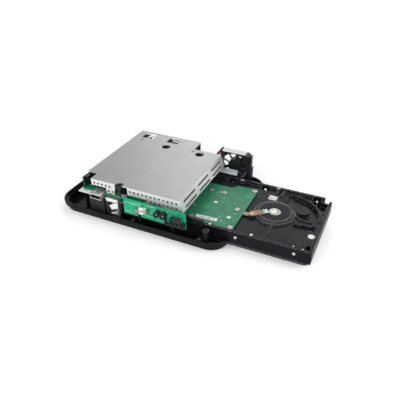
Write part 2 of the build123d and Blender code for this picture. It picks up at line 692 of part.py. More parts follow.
def shield_cover():
    """Folded sheet: a stepped top, a pierced front, a leaning slotted right side and a back."""
    top = SHIELD_TOP_Z
    low = BOARD_TOP_Z
    left, right, front = SHIELD_LEFT, SHIELD_RIGHT, SHIELD_FRONT
    step_x = left + SHIELD_STEP_X
    back_left, back_right = SHIELD_BACK, SHIELD_STEP_Y
    notch_x = left + SHIELD_NOTCH
    notch_y = front + SHIELD_NOTCH
    outline = [(notch_x, front), (right, front), (right, back_right), (step_x, back_right),
               (step_x, back_left), (left, back_left), (left, notch_y), (notch_x, notch_y)]
    cover = prism(outline, top - SHEET, top)

    # front flange: the left part, its soldered tab, and the right part
    gap0, gap1 = left + 42.5, left + 58.0
    cover += block(notch_x, gap0, front, front + SHEET, low + 6.0, top)
    cover += block(gap0 - 11.5, gap0 - 1.0, front, front + SHEET, low, low + 8)
    cover += block(gap1, right, front, front + SHEET, low + 4.0, top)
    cover += block(gap1 + 22, right, front, front + SHEET, low, top)
    # its right end widens with the leaning side
    wedge = make_face(Polyline((right, top), (right + SHIELD_SLOPE_OUT, low), (right, low), close=True))
    cover += Pos(0, front + SHEET, 0) * extrude(Plane.XZ * wedge, SHEET)

    # leaning right side
    lean = make_face(Polyline((right - SHEET, top), (right, top), (right + SHIELD_SLOPE_OUT, low),
                              (right + SHIELD_SLOPE_OUT - SHEET, low), close=True))
    cover += Pos(0, back_right, 0) * extrude(Plane.XZ * lean, back_right - front)
    # left, step and back sides
    left_start = SIDE_BOARD_Y + SIDE_BOARD_LENGTH + 1.5
    cover += block(left, left + SHEET, left_start, back_left, low, top)
    cover += block(step_x - SHEET, step_x, back_right - SHEET, back_left, low, top)
    cover += block(step_x, right, back_right - SHEET, back_right, low + 5.0, top)

    cuts = hole_row(notch_x + 3.8, gap0 - 1.6, top - UPPER_ROW_DROP)
    cuts += hole_row(gap1 + 3.2, right - 1.6, top - UPPER_ROW_DROP)
    cuts += hole_row(gap1 + 23.2, right - 1.6, top - LOWER_ROW_DROP)
    cuts += hole_row(gap0 - 8.5, gap0 - 2.2, top - LOWER_ROW_DROP)
    slot_start = front + SIDE_SLOT_GAP
    slot_pitch = (back_right - 5.6 - slot_start + SIDE_SLOT_GAP) / SIDE_SLOTS
    for i in range(SIDE_SLOTS):
        y = slot_start + i * slot_pitch
        for drop in (4.9, 10.9):
            cuts.append(block(right - 2, right + 6, y, y + slot_pitch - SIDE_SLOT_GAP,
                              top - drop - SIDE_SLOT_WIDTH / 2, top - drop + SIDE_SLOT_WIDTH / 2))
    # gap over the stop, round holes, small holes and the two square windows
    cuts.append(post(STOP_X, STOP_Y, top - 2, top + 1, 4.5))
    for x, y, radius in ((left + 50.5, back_left - 28.9, TOP_HOLE_RADIUS),
                         (right - 23.6, back_left - 30.1, TOP_HOLE_RADIUS),
                         (left + 13.0, back_left - 23.0, SMALL_HOLE_RADIUS),
                         (right - 34.5, back_left - 25.8, SMALL_HOLE_RADIUS)):
        cuts.append(post(x, y, top - 2, top + 1, radius))
    for x in (left + 8.8, left + 44.0):
        cuts.append(block(x, x + 15.9, back_left - 17.3, back_left - 3.8, top - 2, top + 1))
    # openings in the back for the connectors
    for x, width, _, height in (HDMI, LAN, OPTICAL, VIDEO, POWER):
        x0 = BOARD_LEFT + x
        cuts.append(block(x0 - PORT_GAP, x0 + width + PORT_GAP, back_left - SHEET - 1, back_left + 1,
                          low - 1, low + height + PORT_GAP))
    cover -= cuts
    # sprung tongue left in the second window
    cover += block(left + 50.5, left + 60.0, back_left - 12.7, back_left - 9.5, top - SHEET, top)
    return cover


write("shield_cover", shield_cover(), STEEL)


# ---------------------------------------------------------------- front connectors
def usb_shell():
    x0, x1 = USB_CX - USB_WIDTH / 2, USB_CX + USB_WIDTH / 2
    z0 = USB_TOP_Z - USB_HEIGHT
    shell = block(x0, x1, USB_FRONT, USB_FRONT + USB_DEPTH, z0, USB_TOP_Z)
    shell -= block(x0 + USB_SHEET, x1 - USB_SHEET, USB_FRONT - 1, USB_FRONT + USB_DEPTH - USB_SHEET,
                   z0 + USB_SHEET, USB_TOP_Z - USB_SHEET)
    for x in (USB_CX - 3.6, USB_CX + 3.6):
        shell -= block(x - 1.0, x + 1.0, USB_FRONT + 3.0, USB_FRONT + 8.5,
                       USB_TOP_Z - USB_SHEET - 0.1, USB_TOP_Z + 1)
        shell += block(x - 0.7, x + 0.7, USB_FRONT + 3.4, USB_FRONT + 9.0,
                       USB_TOP_Z - USB_SHEET, USB_TOP_Z - 0.05)
    return shell


def usb_tongue():
    """The black insert: a back block and the tongue that carries the contacts."""
    gap = 0.1
    x0, x1 = USB_CX - USB_WIDTH / 2 + USB_SHEET + gap, USB_CX + USB_WIDTH / 2 - USB_SHEET - gap
    z0, z1 = USB_TOP_Z - USB_HEIGHT + USB_SHEET, USB_TOP_Z - USB_SHEET
    back = USB_FRONT + USB_DEPTH - USB_SHEET
    insert = block(x0, x1, back - 3.0, back, z0, z1)
    return insert + block(USB_CX - 5.2, USB_CX + 5.2, USB_FRONT + 1.4, back - 2.5, z0 + 0.9, z0 + 2.5)


def usb_riser():
    x0 = USB_CX - RISER_WIDTH / 2 - 1.9
    y0 = BASE_FRONT + RISER_SETBACK
    z1 = USB_TOP_Z - USB_HEIGHT
    riser = block(x0, x0 + RISER_WIDTH, y0, y0 + RISER_DEPTH, FLOOR_Z, z1)
    upright = riser.edges().filter_by(Axis.Z).group_by(Axis.Y)[0]
    return fillet(upright, 0.8)


CAGE_LEFT = BASE_LEFT + CAGE_X - CAGE_WIDTH / 2
CAGE_TOP_Z = BOARD_Z - 0.4
CAGE_FRONT = BASE_FRONT + RISER_SETBACK
CAGE_BACK = PLATE_FRONT - CAGE_PLATE_GAP


def card_cage():
    """A folded bright box, open to the front, on two legs."""
    x0, x1 = CAGE_LEFT, CAGE_LEFT + CAGE_WIDTH
    z0 = CAGE_TOP_Z - CAGE_HEIGHT
    cage = block(x0, x1, CAGE_FRONT, CAGE_BACK, z0, CAGE_TOP_Z)
    cage -= block(x0 + SHEET, x1 - SHEET, CAGE_FRONT - 1, CAGE_BACK - SHEET,
                  z0 + SHEET, CAGE_TOP_Z - SHEET)
    for x in (x0, x1 - 2.0):
        cage += block(x, x + 2.0, CAGE_FRONT + 1, CAGE_FRONT + 4, FLOOR_Z, z0 + 0.1)
    return cage


def card_contacts():
    """The black contact block inside the cage's left side."""
    y0 = CAGE_FRONT + 2.2
    y1 = CAGE_BACK - SHEET
    x0 = CAGE_LEFT + SHEET
    z0 = CAGE_TOP_Z - CAGE_HEIGHT + SHEET
    outline = [(x0, z0), (x0 + 6.0, z0), (x0 + 2.6, z0 + 8.0), (x0 + 2.6, z0 + 10.5), (x0, z0 + 10.5)]
    face = make_face(Polyline(*outline, close=True))
    return Pos(0, y1, 0) * extrude(Plane.XZ * face, y1 - y0)


write("usb_shell", usb_shell(), STEEL)
write("usb_tongue", usb_tongue(), BLACK)
write("usb_riser", usb_riser(), BLACK)
write("card_cage", card_cage(), STEEL)
write("card_contacts", card_contacts(), BLACK)

# ---------------------------------------------------------------- front board
BOARD_FACE = FRONT_BOARD_FACE
LAMP_X = FRONT_BOARD_LEFT + 42.4
LAMP_Z = FRONT_BOARD_Z + 12.6
KEY_LEFT = FRONT_BOARD_LEFT + 50.0
KEY_RIGHT = FRONT_BOARD_LEFT + 73.0
KEY_Z = FRONT_BOARD_Z + 0.9
SWITCH_X = FRONT_BOARD_LEFT + 63.4
SWITCH_Z = FRONT_BOARD_Z + 7.4
KEY_PIN_Z = SWITCH_Z - 1.6


def front_board():
    board = block(FRONT_BOARD_LEFT, FRONT_BOARD_LEFT + FRONT_BOARD_LENGTH, BOARD_FACE, FRONT_BOARD_BACK,
                  FRONT_BOARD_Z, FRONT_BOARD_Z + FRONT_BOARD_HEIGHT)
    board -= rod_y(FRONT_SCREW_X, FRONT_SCREW_Z, BOARD_FACE - 1, FRONT_BOARD_BACK + 1, SCREW_RADIUS)
    for side in (-1, 1):
        board -= rod_y(SWITCH_X + side * KEY_PIN_SPREAD, KEY_PIN_Z, BOARD_FACE - 1, FRONT_BOARD_BACK + 1,
                       KEY_PIN_RADIUS + RUNNING_GAP)
    return board


def board_header():
    """Right-angle pin header that joins the front board to the main board."""
    z0 = BOARD_TOP_Z
    x0 = FRONT_BOARD_LEFT + 28
    header = block(x0, x0 + 14, FRONT_BOARD_BACK, BOARD_FRONT, BOARD_Z - 1.6, BOARD_TOP_Z)
    header += block(x0, x0 + 14, BOARD_FRONT, SHIELD_FRONT - 0.4, BOARD_TOP_Z, BOARD_TOP_Z + 1.6)
    return header + block(x0, x0 + 14, FRONT_BOARD_BACK, BOARD_FRONT + 0.2, z0, z0 + 1.6)


def ir_receiver():
    """White housing with two dark eyes."""
    x0, z0 = FRONT_BOARD_LEFT + 21.4, FRONT_BOARD_Z + 6.2
    body = block(x0, x0 + 6.2, BOARD_FACE - 2.4, BOARD_FACE, z0, z0 + 7.2)
    body = fillet(body.edges().filter_by(Axis.Y), 0.7)
    for dx, dz in ((2.2, 4.6), (3.9, 3.2)):
        body -= rod_y(x0 + dx, z0 + dz, BOARD_FACE - 3, BOARD_FACE - 0.8, 0.95)
    return body


def front_capacitor():
    return post(FRONT_BOARD_LEFT + 30.3, BOARD_FACE - 0.9, FRONT_BOARD_Z + 8.0, FRONT_BOARD_Z + 13.6, 0.85)


def lamp_holders():
    """Two black barrels, joined by a web, that carry the indicator lights."""
    face = BOARD_FACE
    body = block(LAMP_X, LAMP_X + LAMP_PITCH, face - 2.6, face, LAMP_Z - 1.6, LAMP_Z + 1.6)
    for i in range(2):
        body += rod_y(LAMP_X + i * LAMP_PITCH, LAMP_Z, face - LAMP_LENGTH, face, LAMP_RADIUS)
    for i in range(2):
        body -= rod_y(LAMP_X + i * LAMP_PITCH, LAMP_Z, face - LAMP_LENGTH - 1, face + 1, 1.6)
    return body


def indicator_lamps():
    lamps = []
    for i in range(2):
        x = LAMP_X + i * LAMP_PITCH
        barrel = rod_y(x, LAMP_Z, BOARD_FACE - LAMP_LENGTH + 1.4, BOARD_FACE, 1.5)
        lamps.append(fillet(barrel.edges().sort_by(Axis.Y)[0], 1.0))
    return lamps


def key_frame():
    """The fixed U of the power key's moulding, clipped over the board's lower edge."""
    y0, y1 = BOARD_FACE - 2.6, BOARD_FACE
    bar = KEY_FRAME_BAR
    frame = block(KEY_LEFT, KEY_RIGHT, y0, y1, KEY_Z, KEY_Z + bar)
    frame += block(KEY_LEFT, KEY_LEFT + bar, y0, y1, KEY_Z, KEY_Z + 7.5)
    frame += block(KEY_RIGHT - bar, KEY_RIGHT, y0, y1, KEY_Z, KEY_Z + 7.5)
    return frame


def power_key():
    """The arch that is pushed in: a pip that meets the switch, and two pins the board guides."""
    y0 = BOARD_FACE - SWITCH_DEPTH - KEY_TRAVEL_GAP - KEY_THICK
    y1 = y0 + KEY_THICK
    x0, x1 = SWITCH_X - 6.8, SWITCH_X + 6.8
    z0 = KEY_Z + KEY_FRAME_BAR + 0.35
    z1 = FRONT_BOARD_Z + 14.6
    arch = block(x0, x1, y0, y1, z0, z1)
    arch = fillet(arch.edges().filter_by(Axis.Y).group_by(Axis.Z)[-1], 4.0)
    arch -= block(x0 + 2.6, x1 - 2.6, y0 - 1, y1 + 1, z0 + 2.2, z1 - 2.8)
    arch += block(SWITCH_X - 1.2, SWITCH_X + 1.2, y0, y1, z0, z1 - 2)
    for side in (-1, 1):
        arch += rod_y(SWITCH_X + side * KEY_PIN_SPREAD, KEY_PIN_Z, y1 - 0.2, FRONT_BOARD_BACK + 0.8, KEY_PIN_RADIUS)
    return arch + rod_y(SWITCH_X, SWITCH_Z, y1 - 0.2, y1 + 0.2, 1.1)


def tact_switch():
    half = SWITCH_SIZE / 2
    body = block(SWITCH_X - half, SWITCH_X + half, BOARD_FACE - SWITCH_DEPTH + 0.5, BOARD_FACE,
                 SWITCH_Z - half, SWITCH_Z + half)
    return body + rod_y(SWITCH_X, SWITCH_Z, BOARD_FACE - SWITCH_DEPTH, BOARD_FACE - 1, 1.7)


write("front_board", front_board(), GREEN)
write("board_header", board_header(), BLACK)
write("ir_receiver", ir_receiver(), WHITE)
write("front_capacitor", front_capacitor(), (0.2, 0.2, 0.2))
write("lamp_holders", lamp_holders(), BLACK)
write("indicator_lamps", indicator_lamps(), (0.8, 0.8, 0.75))
write("key_frame", key_frame(), BLACK)
write("power_key", power_key(), BLACK)
write("tact_switch", tact_switch(), (0.25, 0.25, 0.25))

# ---------------------------------------------------------------- fan
FAN_BACK = FAN_Y + FAN_DEPTH
FAN_TOP_Z = FAN_Z + FAN_SIZE


def fan_frame():
    body = block(FAN_X, FAN_X + FAN_SIZE, FAN_Y, FAN_BACK, FAN_Z, FAN_TOP_Z)
    body = fillet(body.edges().filter_by(Axis.Y), 2.4)
    body -= rod_y(FAN_CX, FAN_CZ, FAN_Y - 1, FAN_BACK + 1, FAN_BORE_RADIUS)
    # struts and the fixed motor cup at the back
    cup = rod_y(FAN_CX, FAN_CZ, FAN_BACK - 2.2, FAN_BACK, FAN_HUB_RADIUS + 0.4)
    for i in range(3):
        turn = Rot(0, 30 + 120 * i, 0)
        strut = block(0, FAN_BORE_RADIUS + 0.6, FAN_BACK - 2.0, FAN_BACK - 0.3, -1.1, 1.1)
        cup += Pos(FAN_CX, 0, FAN_CZ) * turn * strut
    body += cup
    body += rod_y(FAN_CX, FAN_CZ, FAN_Y + 3.2, FAN_BACK - 1, FAN_SHAFT_RADIUS)
    half = FAN_HOLE_SPACING / 2
    for dx in (-half, half):
        for dz in (-half, half):
            body -= rod_y(FAN_CX + dx, FAN_CZ + dz, FAN_Y - 1, FAN_BACK + 1, FAN_HOLE_RADIUS)
    return body


def fan_rotor():
    """Hub cup and pitched blades, turning on the fixed motor cup behind it."""
    y0 = FAN_Y + 0.6
    y1 = FAN_BACK - 2.2 - 0.35
    hub = rod_y(FAN_CX, FAN_CZ, y0, y1, FAN_HUB_RADIUS)
    hub = fillet(hub.edges().sort_by(Axis.Y)[0], 0.8)
    tip = FAN_BORE_RADIUS - FAN_TIP_GAP
    mid = (y0 + y1) / 2
    for i in range(FAN_BLADES):
        blade = Pos((FAN_HUB_RADIUS - 0.6 + tip) / 2, 0, 0) * Rot(BLADE_PITCH, 0, 0)
        blade = blade * Box(tip - FAN_HUB_RADIUS + 0.6, BLADE_CHORD, 0.9)
        hub += Pos(FAN_CX, mid, FAN_CZ) * Rot(0, 360 / FAN_BLADES * i, 0) * blade
    rotor = hub & rod_y(FAN_CX, FAN_CZ, y0, y1, tip)
    return rotor - rod_y(FAN_CX, FAN_CZ, FAN_Y + 2.8, FAN_BACK, FAN_SHAFT_RADIUS + RUNNING_GAP)


def fan_foam():
    """White foam strip that seals the fan against the top cover."""
    return block(FAN_X + 1.2, FAN_X + FAN_SIZE - 4.6, FAN_Y + 0.6, FAN_BACK - 1.2, FAN_TOP_Z, FAN_TOP_Z + 1.0)


def fan_holder():
    """Black moulding that stands on the tray and clasps the fan."""
    right = FAN_X + FAN_SIZE + FAN_FIT
    left = FAN_X - FAN_FIT
    wall_y = FLOOR_BACK - 0.6
    holder = block(left - 1.8, right + 2.0, FAN_Y + 2.0, wall_y, FLOOR_Z, FAN_Z)
    holder -= block(FAN_X + 4, FAN_X + FAN_SIZE - 4, FAN_Y, FAN_BACK + 1, FLOOR_Z + 2.4, FAN_Z - 2.0)
    # right post with its rounded head, and a thin rib on its outer side
    column = rounded_block(right, right + 4.0, FAN_Y - 1.0, FAN_BACK - 4, FAN_Z - 1, FAN_TOP_Z + 0.6, 1.9)
    column = fillet(column.faces().sort_by(Axis.Z)[-1].edges(), 1.2)
    holder += column
    holder += block(right, right + 4.0, FAN_Y + 2.0, FAN_BACK - 4.2, FLOOR_Z, FAN_Z)
    holder += block(right + 3.8, right + 5.0, FAN_Y + 1.5, FAN_BACK - 4.2, FAN_Z + 5, FAN_Z + 20)
    # clasp over the fan's upper right corner
    holder += block(right - 3.6, right + 2.2, FAN_Y - 1.0, FAN_Y - 0.1, FAN_TOP_Z - 3.4, FAN_TOP_Z + 0.4)
    # left post, and the arm that reaches forward over the shield's corner
    holder += block(left - 1.8, left, wall_y - 3, wall_y, FLOOR_Z, FAN_TOP_Z + 0.8)
    holder += block(left - 1.8, left, FAN_Y - 9.0, FAN_BACK, FAN_TOP_Z - 2.2, FAN_TOP_Z + 0.8)
    return holder


def fan_bracket():
    """Folded metal strip along the back of the bay, below the fan's hub."""
    x0, x1 = PLATE_RIGHT + 0.3, FAN_X + FAN_SIZE - 8.6
    y0 = BAY_FAR
    bracket = block(x0, x1, y0, y0 + 3.4, PLATE_Z, PLATE_Z + SHEET)
    return bracket + block(x0, x1, y0 + 2.6, y0 + 2.6 + SHEET, PLATE_Z, PLATE_Z + 5.6)


PLUG_X = BOARD_RIGHT - 5.6
LEAD_PLUG_Y = BOARD_STEP_Y - 3.6


def fan_plug():
    socket = block(PLUG_X - 3, PLUG_X + 3, LEAD_PLUG_Y - 2.4, LEAD_PLUG_Y + 2.4,
                   BOARD_TOP_Z, BOARD_TOP_Z + 4.2)
    return fillet(socket.edges().filter_by(Axis.Z), 0.4)


def fan_lead(offset):
    """One lead: out of the fan's front face, down in front of it, and into its plug."""
    x = PLUG_X + offset
    top = FAN_TOP_Z - 1.8
    points = [(FAN_X + 2.0 + 1.2 * offset, FAN_Y, top),
              (FAN_X + 1.9 + 1.2 * offset, FAN_Y - 2.4, top - 2.6),
              (FAN_X + 1.6 + 1.1 * offset, FAN_Y - 3.4, BOARD_TOP_Z + 5.4),
              (x, LEAD_PLUG_Y + 2.4, BOARD_TOP_Z + 2.1)]
    return tube_along(points, (0, -1, 0), (0, -1, 0), LEAD_RADIUS)


write("fan_frame", fan_frame(), BLACK)
write("fan_rotor", fan_rotor(), BLACK)
write("fan_foam", fan_foam(), WHITE)
write("fan_holder", fan_holder(), BLACK)
write("fan_bracket", fan_bracket(), STEEL)
write("fan_plug", fan_plug(), WHITE)
write("fan_lead_red", fan_lead(-1.3), (0.6, 0.02, 0.02))
write("fan_lead_black", fan_lead(1.3), BLACK)

# ---------------------------------------------------------------- link to the drive
LINK_X = DRIVE_HOME_X - 7.0
RECEPTACLE_Z = DRIVE_Z - PLUG_DROP


def link_board():
    """Upright board that carries the drive's receptacle, hung from the main board."""
    return block(LINK_X - BOARD_THICK, LINK_X, DRIVE_Y + PLUG_Y - 30, DRIVE_Y + PLUG_Y + 30,
                 RECEPTACLE_Z - 8, PLATE_Z)


def drive_receptacle():
    """Body on the link board and the slotted nose that enters the drive's plug."""
    y0, y1 = DRIVE_Y + PLUG_Y - PLUG_WIDTH / 2, DRIVE_Y + PLUG_Y + PLUG_WIDTH / 2
    nose = 0.5
    body = block(LINK_X, DRIVE_HOME_X - 0.6, y0 - 1.5, y1 + 1.5, RECEPTACLE_Z - 3.4, RECEPTACLE_Z + 3.4)
    body += block(DRIVE_HOME_X - 1, DRIVE_HOME_X + PLUG_DEPTH - 1.6, y0 + nose, y1 - nose,
                  RECEPTACLE_Z - PLUG_HEIGHT / 2 + nose, RECEPTACLE_Z + PLUG_HEIGHT / 2 - nose)
    slot = BLADE_THICK / 2 + 0.4
    body -= block(DRIVE_HOME_X - 0.9, DRIVE_HOME_X + PLUG_DEPTH, y0, y1, RECEPTACLE_Z - slot, RECEPTACLE_Z + slot)
    return body


write("link_board", link_board(), GREEN)
write("drive_receptacle", drive_receptacle(), BLACK)


# ---------------------------------------------------------------- hard drive, in its own frame
def place(shape):
    """From the drive's own frame, near left corner of its rail plane, to the part's."""
    if isinstance(shape, list):
        return [Pos(DRIVE_X, DRIVE_Y, DRIVE_Z) * one for one in shape]
    return Pos(DRIVE_X, DRIVE_Y, DRIVE_Z) * shape


BOARD_RIGHT_EDGE = HUB_X - MOTOR_RING_RADIUS - 7.7
FAR_INSIDE_Y = DRIVE_WIDTH - CASTING_WALL
DRIVE_BOARD_OUTLINE = [(3.2, 6.0), (8.0, 3.4), (BOARD_RIGHT_EDGE, 3.4), (BOARD_RIGHT_EDGE, FAR_INSIDE_Y - 11.6),
                       (41.5, FAR_INSIDE_Y - 12.6), (34.7, FAR_INSIDE_Y - 19.7), (3.2, FAR_INSIDE_Y - 19.7)]
DRIVE_SCREWS = ((15.9, HUB_Y + 13.4), (32.3, HUB_Y + 13.0), (BOARD_RIGHT_EDGE - 2.9, FAR_INSIDE_Y - 16.8),
                (BOARD_RIGHT_EDGE - 8.2, 39.6), (BOARD_RIGHT_EDGE - 3.4, 6.6), (9.5, 30.0), (16.0, 9.5))
DECK_Z = -DECK_DEPTH
END_PAD_RAISE = 1.1
ARC_CENTRE = (HUB_X + 7.5, HUB_Y + 2.5)


def ring_sector(inner, outer, start, stop, z0, z1):
    """A piece of a flat ring about the arc's centre, between two angles in degrees."""
    cx, cy = ARC_CENTRE

    def at(radius, angle):
        turn = math.radians(angle)
        return cx + radius * math.cos(turn), cy + radius * math.sin(turn)

    middle = (start + stop) / 2
    edges = [ThreePointArc(at(outer, start), at(outer, middle), at(outer, stop)),
             Line(at(outer, stop), at(inner, stop)),
             ThreePointArc(at(inner, stop), at(inner, middle), at(inner, start)),
             Line(at(inner, start), at(outer, start))]
    return Pos(0, 0, z0) * extrude(make_face(edges), z1 - z0)


def from_hub(points):
    return [(HUB_X + x, HUB_Y + y) for x, y in points]


def drive_casting():
    length, width = DRIVE_LENGTH, DRIVE_WIDTH
    casting = block(0, length, 0, width, -CASTING_HEIGHT, 0)
    casting = fillet(casting.edges().filter_by(Axis.Z), 1.5)
    # the step in the far right corner
    casting -= block(length - 8.5, length + 1, width - 6.4, width + 1, -CASTING_HEIGHT - 1, 1)
    # deck between the rails, open to the connector end
    deck = block(-1, length - 3.0, CASTING_WALL, width - CASTING_WALL, DECK_Z, 1)
    casting -= deck
    casting += block(length - 11.0, length - 2.9, 10.0, width - 13.0, DECK_Z - 0.5, DECK_Z + END_PAD_RAISE)
    # pads under the circuit board's screws, and a recess for its parts
    casting -= block(2.0, BOARD_RIGHT_EDGE - 2.0, CASTING_WALL, FAR_INSIDE_Y - 22.1, -7.0, DECK_Z + 1)
    for x, y in DRIVE_SCREWS:
        casting += post(x, y, -7.2, -DRIVE_BOARD_DROP - DRIVE_BOARD_THICK, 3.4)
        casting -= post(x, y, -6.0, 1, 1.15)
    # motor seat
    casting += post(HUB_X, HUB_Y, DECK_Z - 0.5, -MOTOR_DISC - 0.2, MOTOR_RING_RADIUS)
    # pierced pockets behind the far rail
    for x in SIDE_HOLE_X:
        casting -= block(x - 5, x + 5, width - 8.5, width - CASTING_WALL + 0.4, -8.6, 1)
    # right end: sunk field beside the motor, corner pockets, long pocket
    field = [(0.3, 44.3), (8.1, 46.3), (24.1, 40.7), (36.1, 30.3), (43.7, 16.3), (45.5, 2.9),
             (25.5, 2.9), (21.0, 14.0), (14.1, 19.5), (0.3, 24.6)]
    casting -= prism(from_hub(field), DECK_Z - 2.2, 1)
    casting += ring_sector(38.4, 41.0, 2, 84, DECK_Z - 2.6, DECK_Z + 1.6)
    casting -= prism(from_hub([(28.2, 38.8), (41.1, 42.9), (48.5, 40.3), (48.1, 25.3), (44.7, 23.3)]), -8.6, 1)
    x0, y0 = HUB_X + 22.6, HUB_Y - 16.3
    casting -= rounded_block(x0, x0 + 23.4, y0, y0 + 9.4, DECK_Z - 2.6, 1, 2.0)
    casting -= prism([(length - 10.3, 7.2), (length - 4.0, 14.6), (length - 2.4, 4.6), (length - 9.0, 4.4)],
                     -8.6, 1)
    casting -= rounded_block(length - 5.4, length - 2.0, HUB_Y + 16.7, HUB_Y + 19.1, -6.0, 1, 1.1)
    # raised details: a plug, a radial rib, two ribs by the far rail
    casting += post(HUB_X + 27.0, HUB_Y + 15.3, DECK_Z - 2.6, DECK_Z + 2.2, 6.8)
    casting += block(HUB_X + 0.5, HUB_X + 4.1, CASTING_WALL - 0.5, HUB_Y - MOTOR_RING_RADIUS + 1.0,
                     DECK_Z - 0.5, DECK_Z + 0.9)
    for x in (HUB_X - 10.3, HUB_X - 3.7):
        casting += block(x, x + 2.4, FAR_INSIDE_Y - 12.0, FAR_INSIDE_Y + 0.5, DECK_Z - 0.5, DECK_Z + 2.2)
    # platter and arm cavity, open below
    cavity = post(HUB_X, HUB_Y, -CASTING_HEIGHT - 1, -CAVITY_CEILING, PLATTER_RADIUS + 0.9)
    cavity += rounded_block(8.0, HUB_X - 18.9, 9.0, width - 8.6, -CASTING_HEIGHT - 1, -CAVITY_CEILING, 4)
    casting -= cavity
    # spindle bearing and arm pivot
    casting += post(HUB_X, HUB_Y, PLATTER_Z - DRIVE_Z - 2.6, -CAVITY_CEILING + 0.2, 4.0)
    casting += post(ARM_PIVOT_X, ARM_PIVOT_Y, -CASTING_HEIGHT - 1.6, -CAVITY_CEILING + 0.2, PIVOT_POST_RADIUS)
    # standard mounting holes: three each side, two in each rail
    for x in SIDE_HOLE_X:
        for y0, y1 in ((-1, SIDE_HOLE_DEPTH), (width - CASTING_WALL - 0.6, width + 1)):
            casting -= rod_y(x, -SIDE_HOLE_DROP, y0, y1, DRIVE_HOLE_RADIUS)
    for x in BOTTOM_HOLE_X:
        for y in (BOTTOM_HOLE_Y, width - BOTTOM_HOLE_Y):
            casting += post(x, y, DECK_Z - 0.5, 0, 3.0) & block(0, length, 0.0, width, -9, 0)
            casting -= post(x, y, -BOTTOM_HOLE_DEPTH, 1, DRIVE_HOLE_RADIUS)
    # seat for the plug
    casting -= block(-1, PLUG_DEPTH + 1.6, PLUG_Y - PLUG_WIDTH / 2 - 2, PLUG_Y + PLUG_WIDTH / 2 + 2,
                     -PLUG_DROP - PLUG_HEIGHT / 2 - 1.2, 1)
    return casting


def drive_cover():
    inset = DRIVE_COVER_INSET
    z0, z1 = -DRIVE_HEIGHT, -CASTING_HEIGHT
    pan = rounded_block(inset, DRIVE_LENGTH - inset, inset, DRIVE_WIDTH - inset, z0, z1, 4.0)
    pan -= block(DRIVE_LENGTH - 12.5, DRIVE_LENGTH, DRIVE_WIDTH - 10.4, DRIVE_WIDTH, z0 - 1, z1 + 1)
    pan = fillet(pan.faces().sort_by(Axis.Z)[0].edges(), 0.7)
    wall = DRIVE_COVER_THICK
    hollow = rounded_block(inset + wall, DRIVE_LENGTH - inset - wall, inset + wall,
                           DRIVE_WIDTH - inset - wall, z0 + wall, z1 + 1, 3.2)
    hollow -= block(DRIVE_LENGTH - 12.5 - wall, DRIVE_LENGTH, DRIVE_WIDTH - 10.4 - wall, DRIVE_WIDTH,
                    z0 - 1, z1 + 2)
    return pan - hollow


def drive_board():
    board = prism(DRIVE_BOARD_OUTLINE, -DRIVE_BOARD_DROP - DRIVE_BOARD_THICK, -DRIVE_BOARD_DROP)
    board -= block(0, PLUG_DEPTH + 1.4, PLUG_Y - PLUG_WIDTH / 2 - 2, PLUG_Y + PLUG_WIDTH / 2 + 2, -4, 1)
    board -= post(BOTTOM_HOLE_X[0], BOTTOM_HOLE_Y, -4, 1, 3.3)
    for x, y in DRIVE_SCREWS:
        board -= post(x, y, -4, 1, 1.3)
    return board


def drive_board_parts():
    """Chips on the board's hidden face, inside the casting's recess."""
    z1 = -DRIVE_BOARD_DROP - DRIVE_BOARD_THICK
    chips = []
    for x0, x1, y0, y1 in ((22, 38, 34, 50), (42, 52, 20, 30), (10, 22, 18, 26), (44, 52, 54, 62)):
        chips.append(block(x0, x1, y0, y1, z1 - 1.6, z1))
    return chips


def drive_board_screws():
    screws = []
    for x, y in DRIVE_SCREWS:
        head = post(x, y, -DRIVE_BOARD_DROP, -DRIVE_BOARD_DROP + 1.0, DRIVE_SCREW_HEAD)
        head = fillet(head.edges().sort_by(Axis.Z)[-1], 0.5)
        head -= Pos(x, y, -DRIVE_BOARD_DROP + 0.4) * extrude(RegularPolygon(1.1, 6), 1.0)
        screws.append(head + post(x, y, -5.6, -DRIVE_BOARD_DROP, 1.1))
    return screws


def motor_disc():
    """The motor's fixed plate, with its sunken centre."""
    z0 = -MOTOR_DISC - 0.2
    disc = post(HUB_X, HUB_Y, z0, -0.3, MOTOR_RADIUS)
    disc = fillet(disc.edges().sort_by(Axis.Z)[-1], 0.5)
    disc += post(HUB_X, HUB_Y, -0.5, 0, MOTOR_RADIUS - 1.7)
    disc += post(HUB_X, HUB_Y, z0, z0 + 0.6, MOTOR_RING_RADIUS - 0.8)
    return disc - post(HUB_X, HUB_Y, -0.9, 1, SHAFT_CAP_RADIUS + 0.05)


def shaft_cap():
    cap = post(HUB_X, HUB_Y, -0.9, -0.9 + SHAFT_CAP_THICK, SHAFT_CAP_RADIUS)
    return cap - post(HUB_X, HUB_Y, -0.9 + SHAFT_CAP_THICK - 0.2, 0.5, SHAFT_CAP_RADIUS - 1.8)


def motor_flex():
    """Flat cable from the circuit board, up over the motor's plate to its solder pads."""
    half = 2.9
    z_low = -DRIVE_BOARD_DROP - 0.4
    x_edge = HUB_X - MOTOR_RING_RADIUS - 1.2
    y = HUB_Y - 17.5
    low = block(BOARD_RIGHT_EDGE, x_edge, y, y + 2 * half, z_low, z_low + 0.3)
    rise = block(x_edge - 0.3, x_edge, y, y + 2 * half, z_low, 0.35)
    top = prism([(x_edge - 0.3, y), (x_edge + 4.0, y), (HUB_X - 4.5, HUB_Y - 5.5), (HUB_X - 8.3, HUB_Y - 0.1),
                 (x_edge - 0.3, y + 7.4)], 0.05, 0.35)
    return low + rise + top


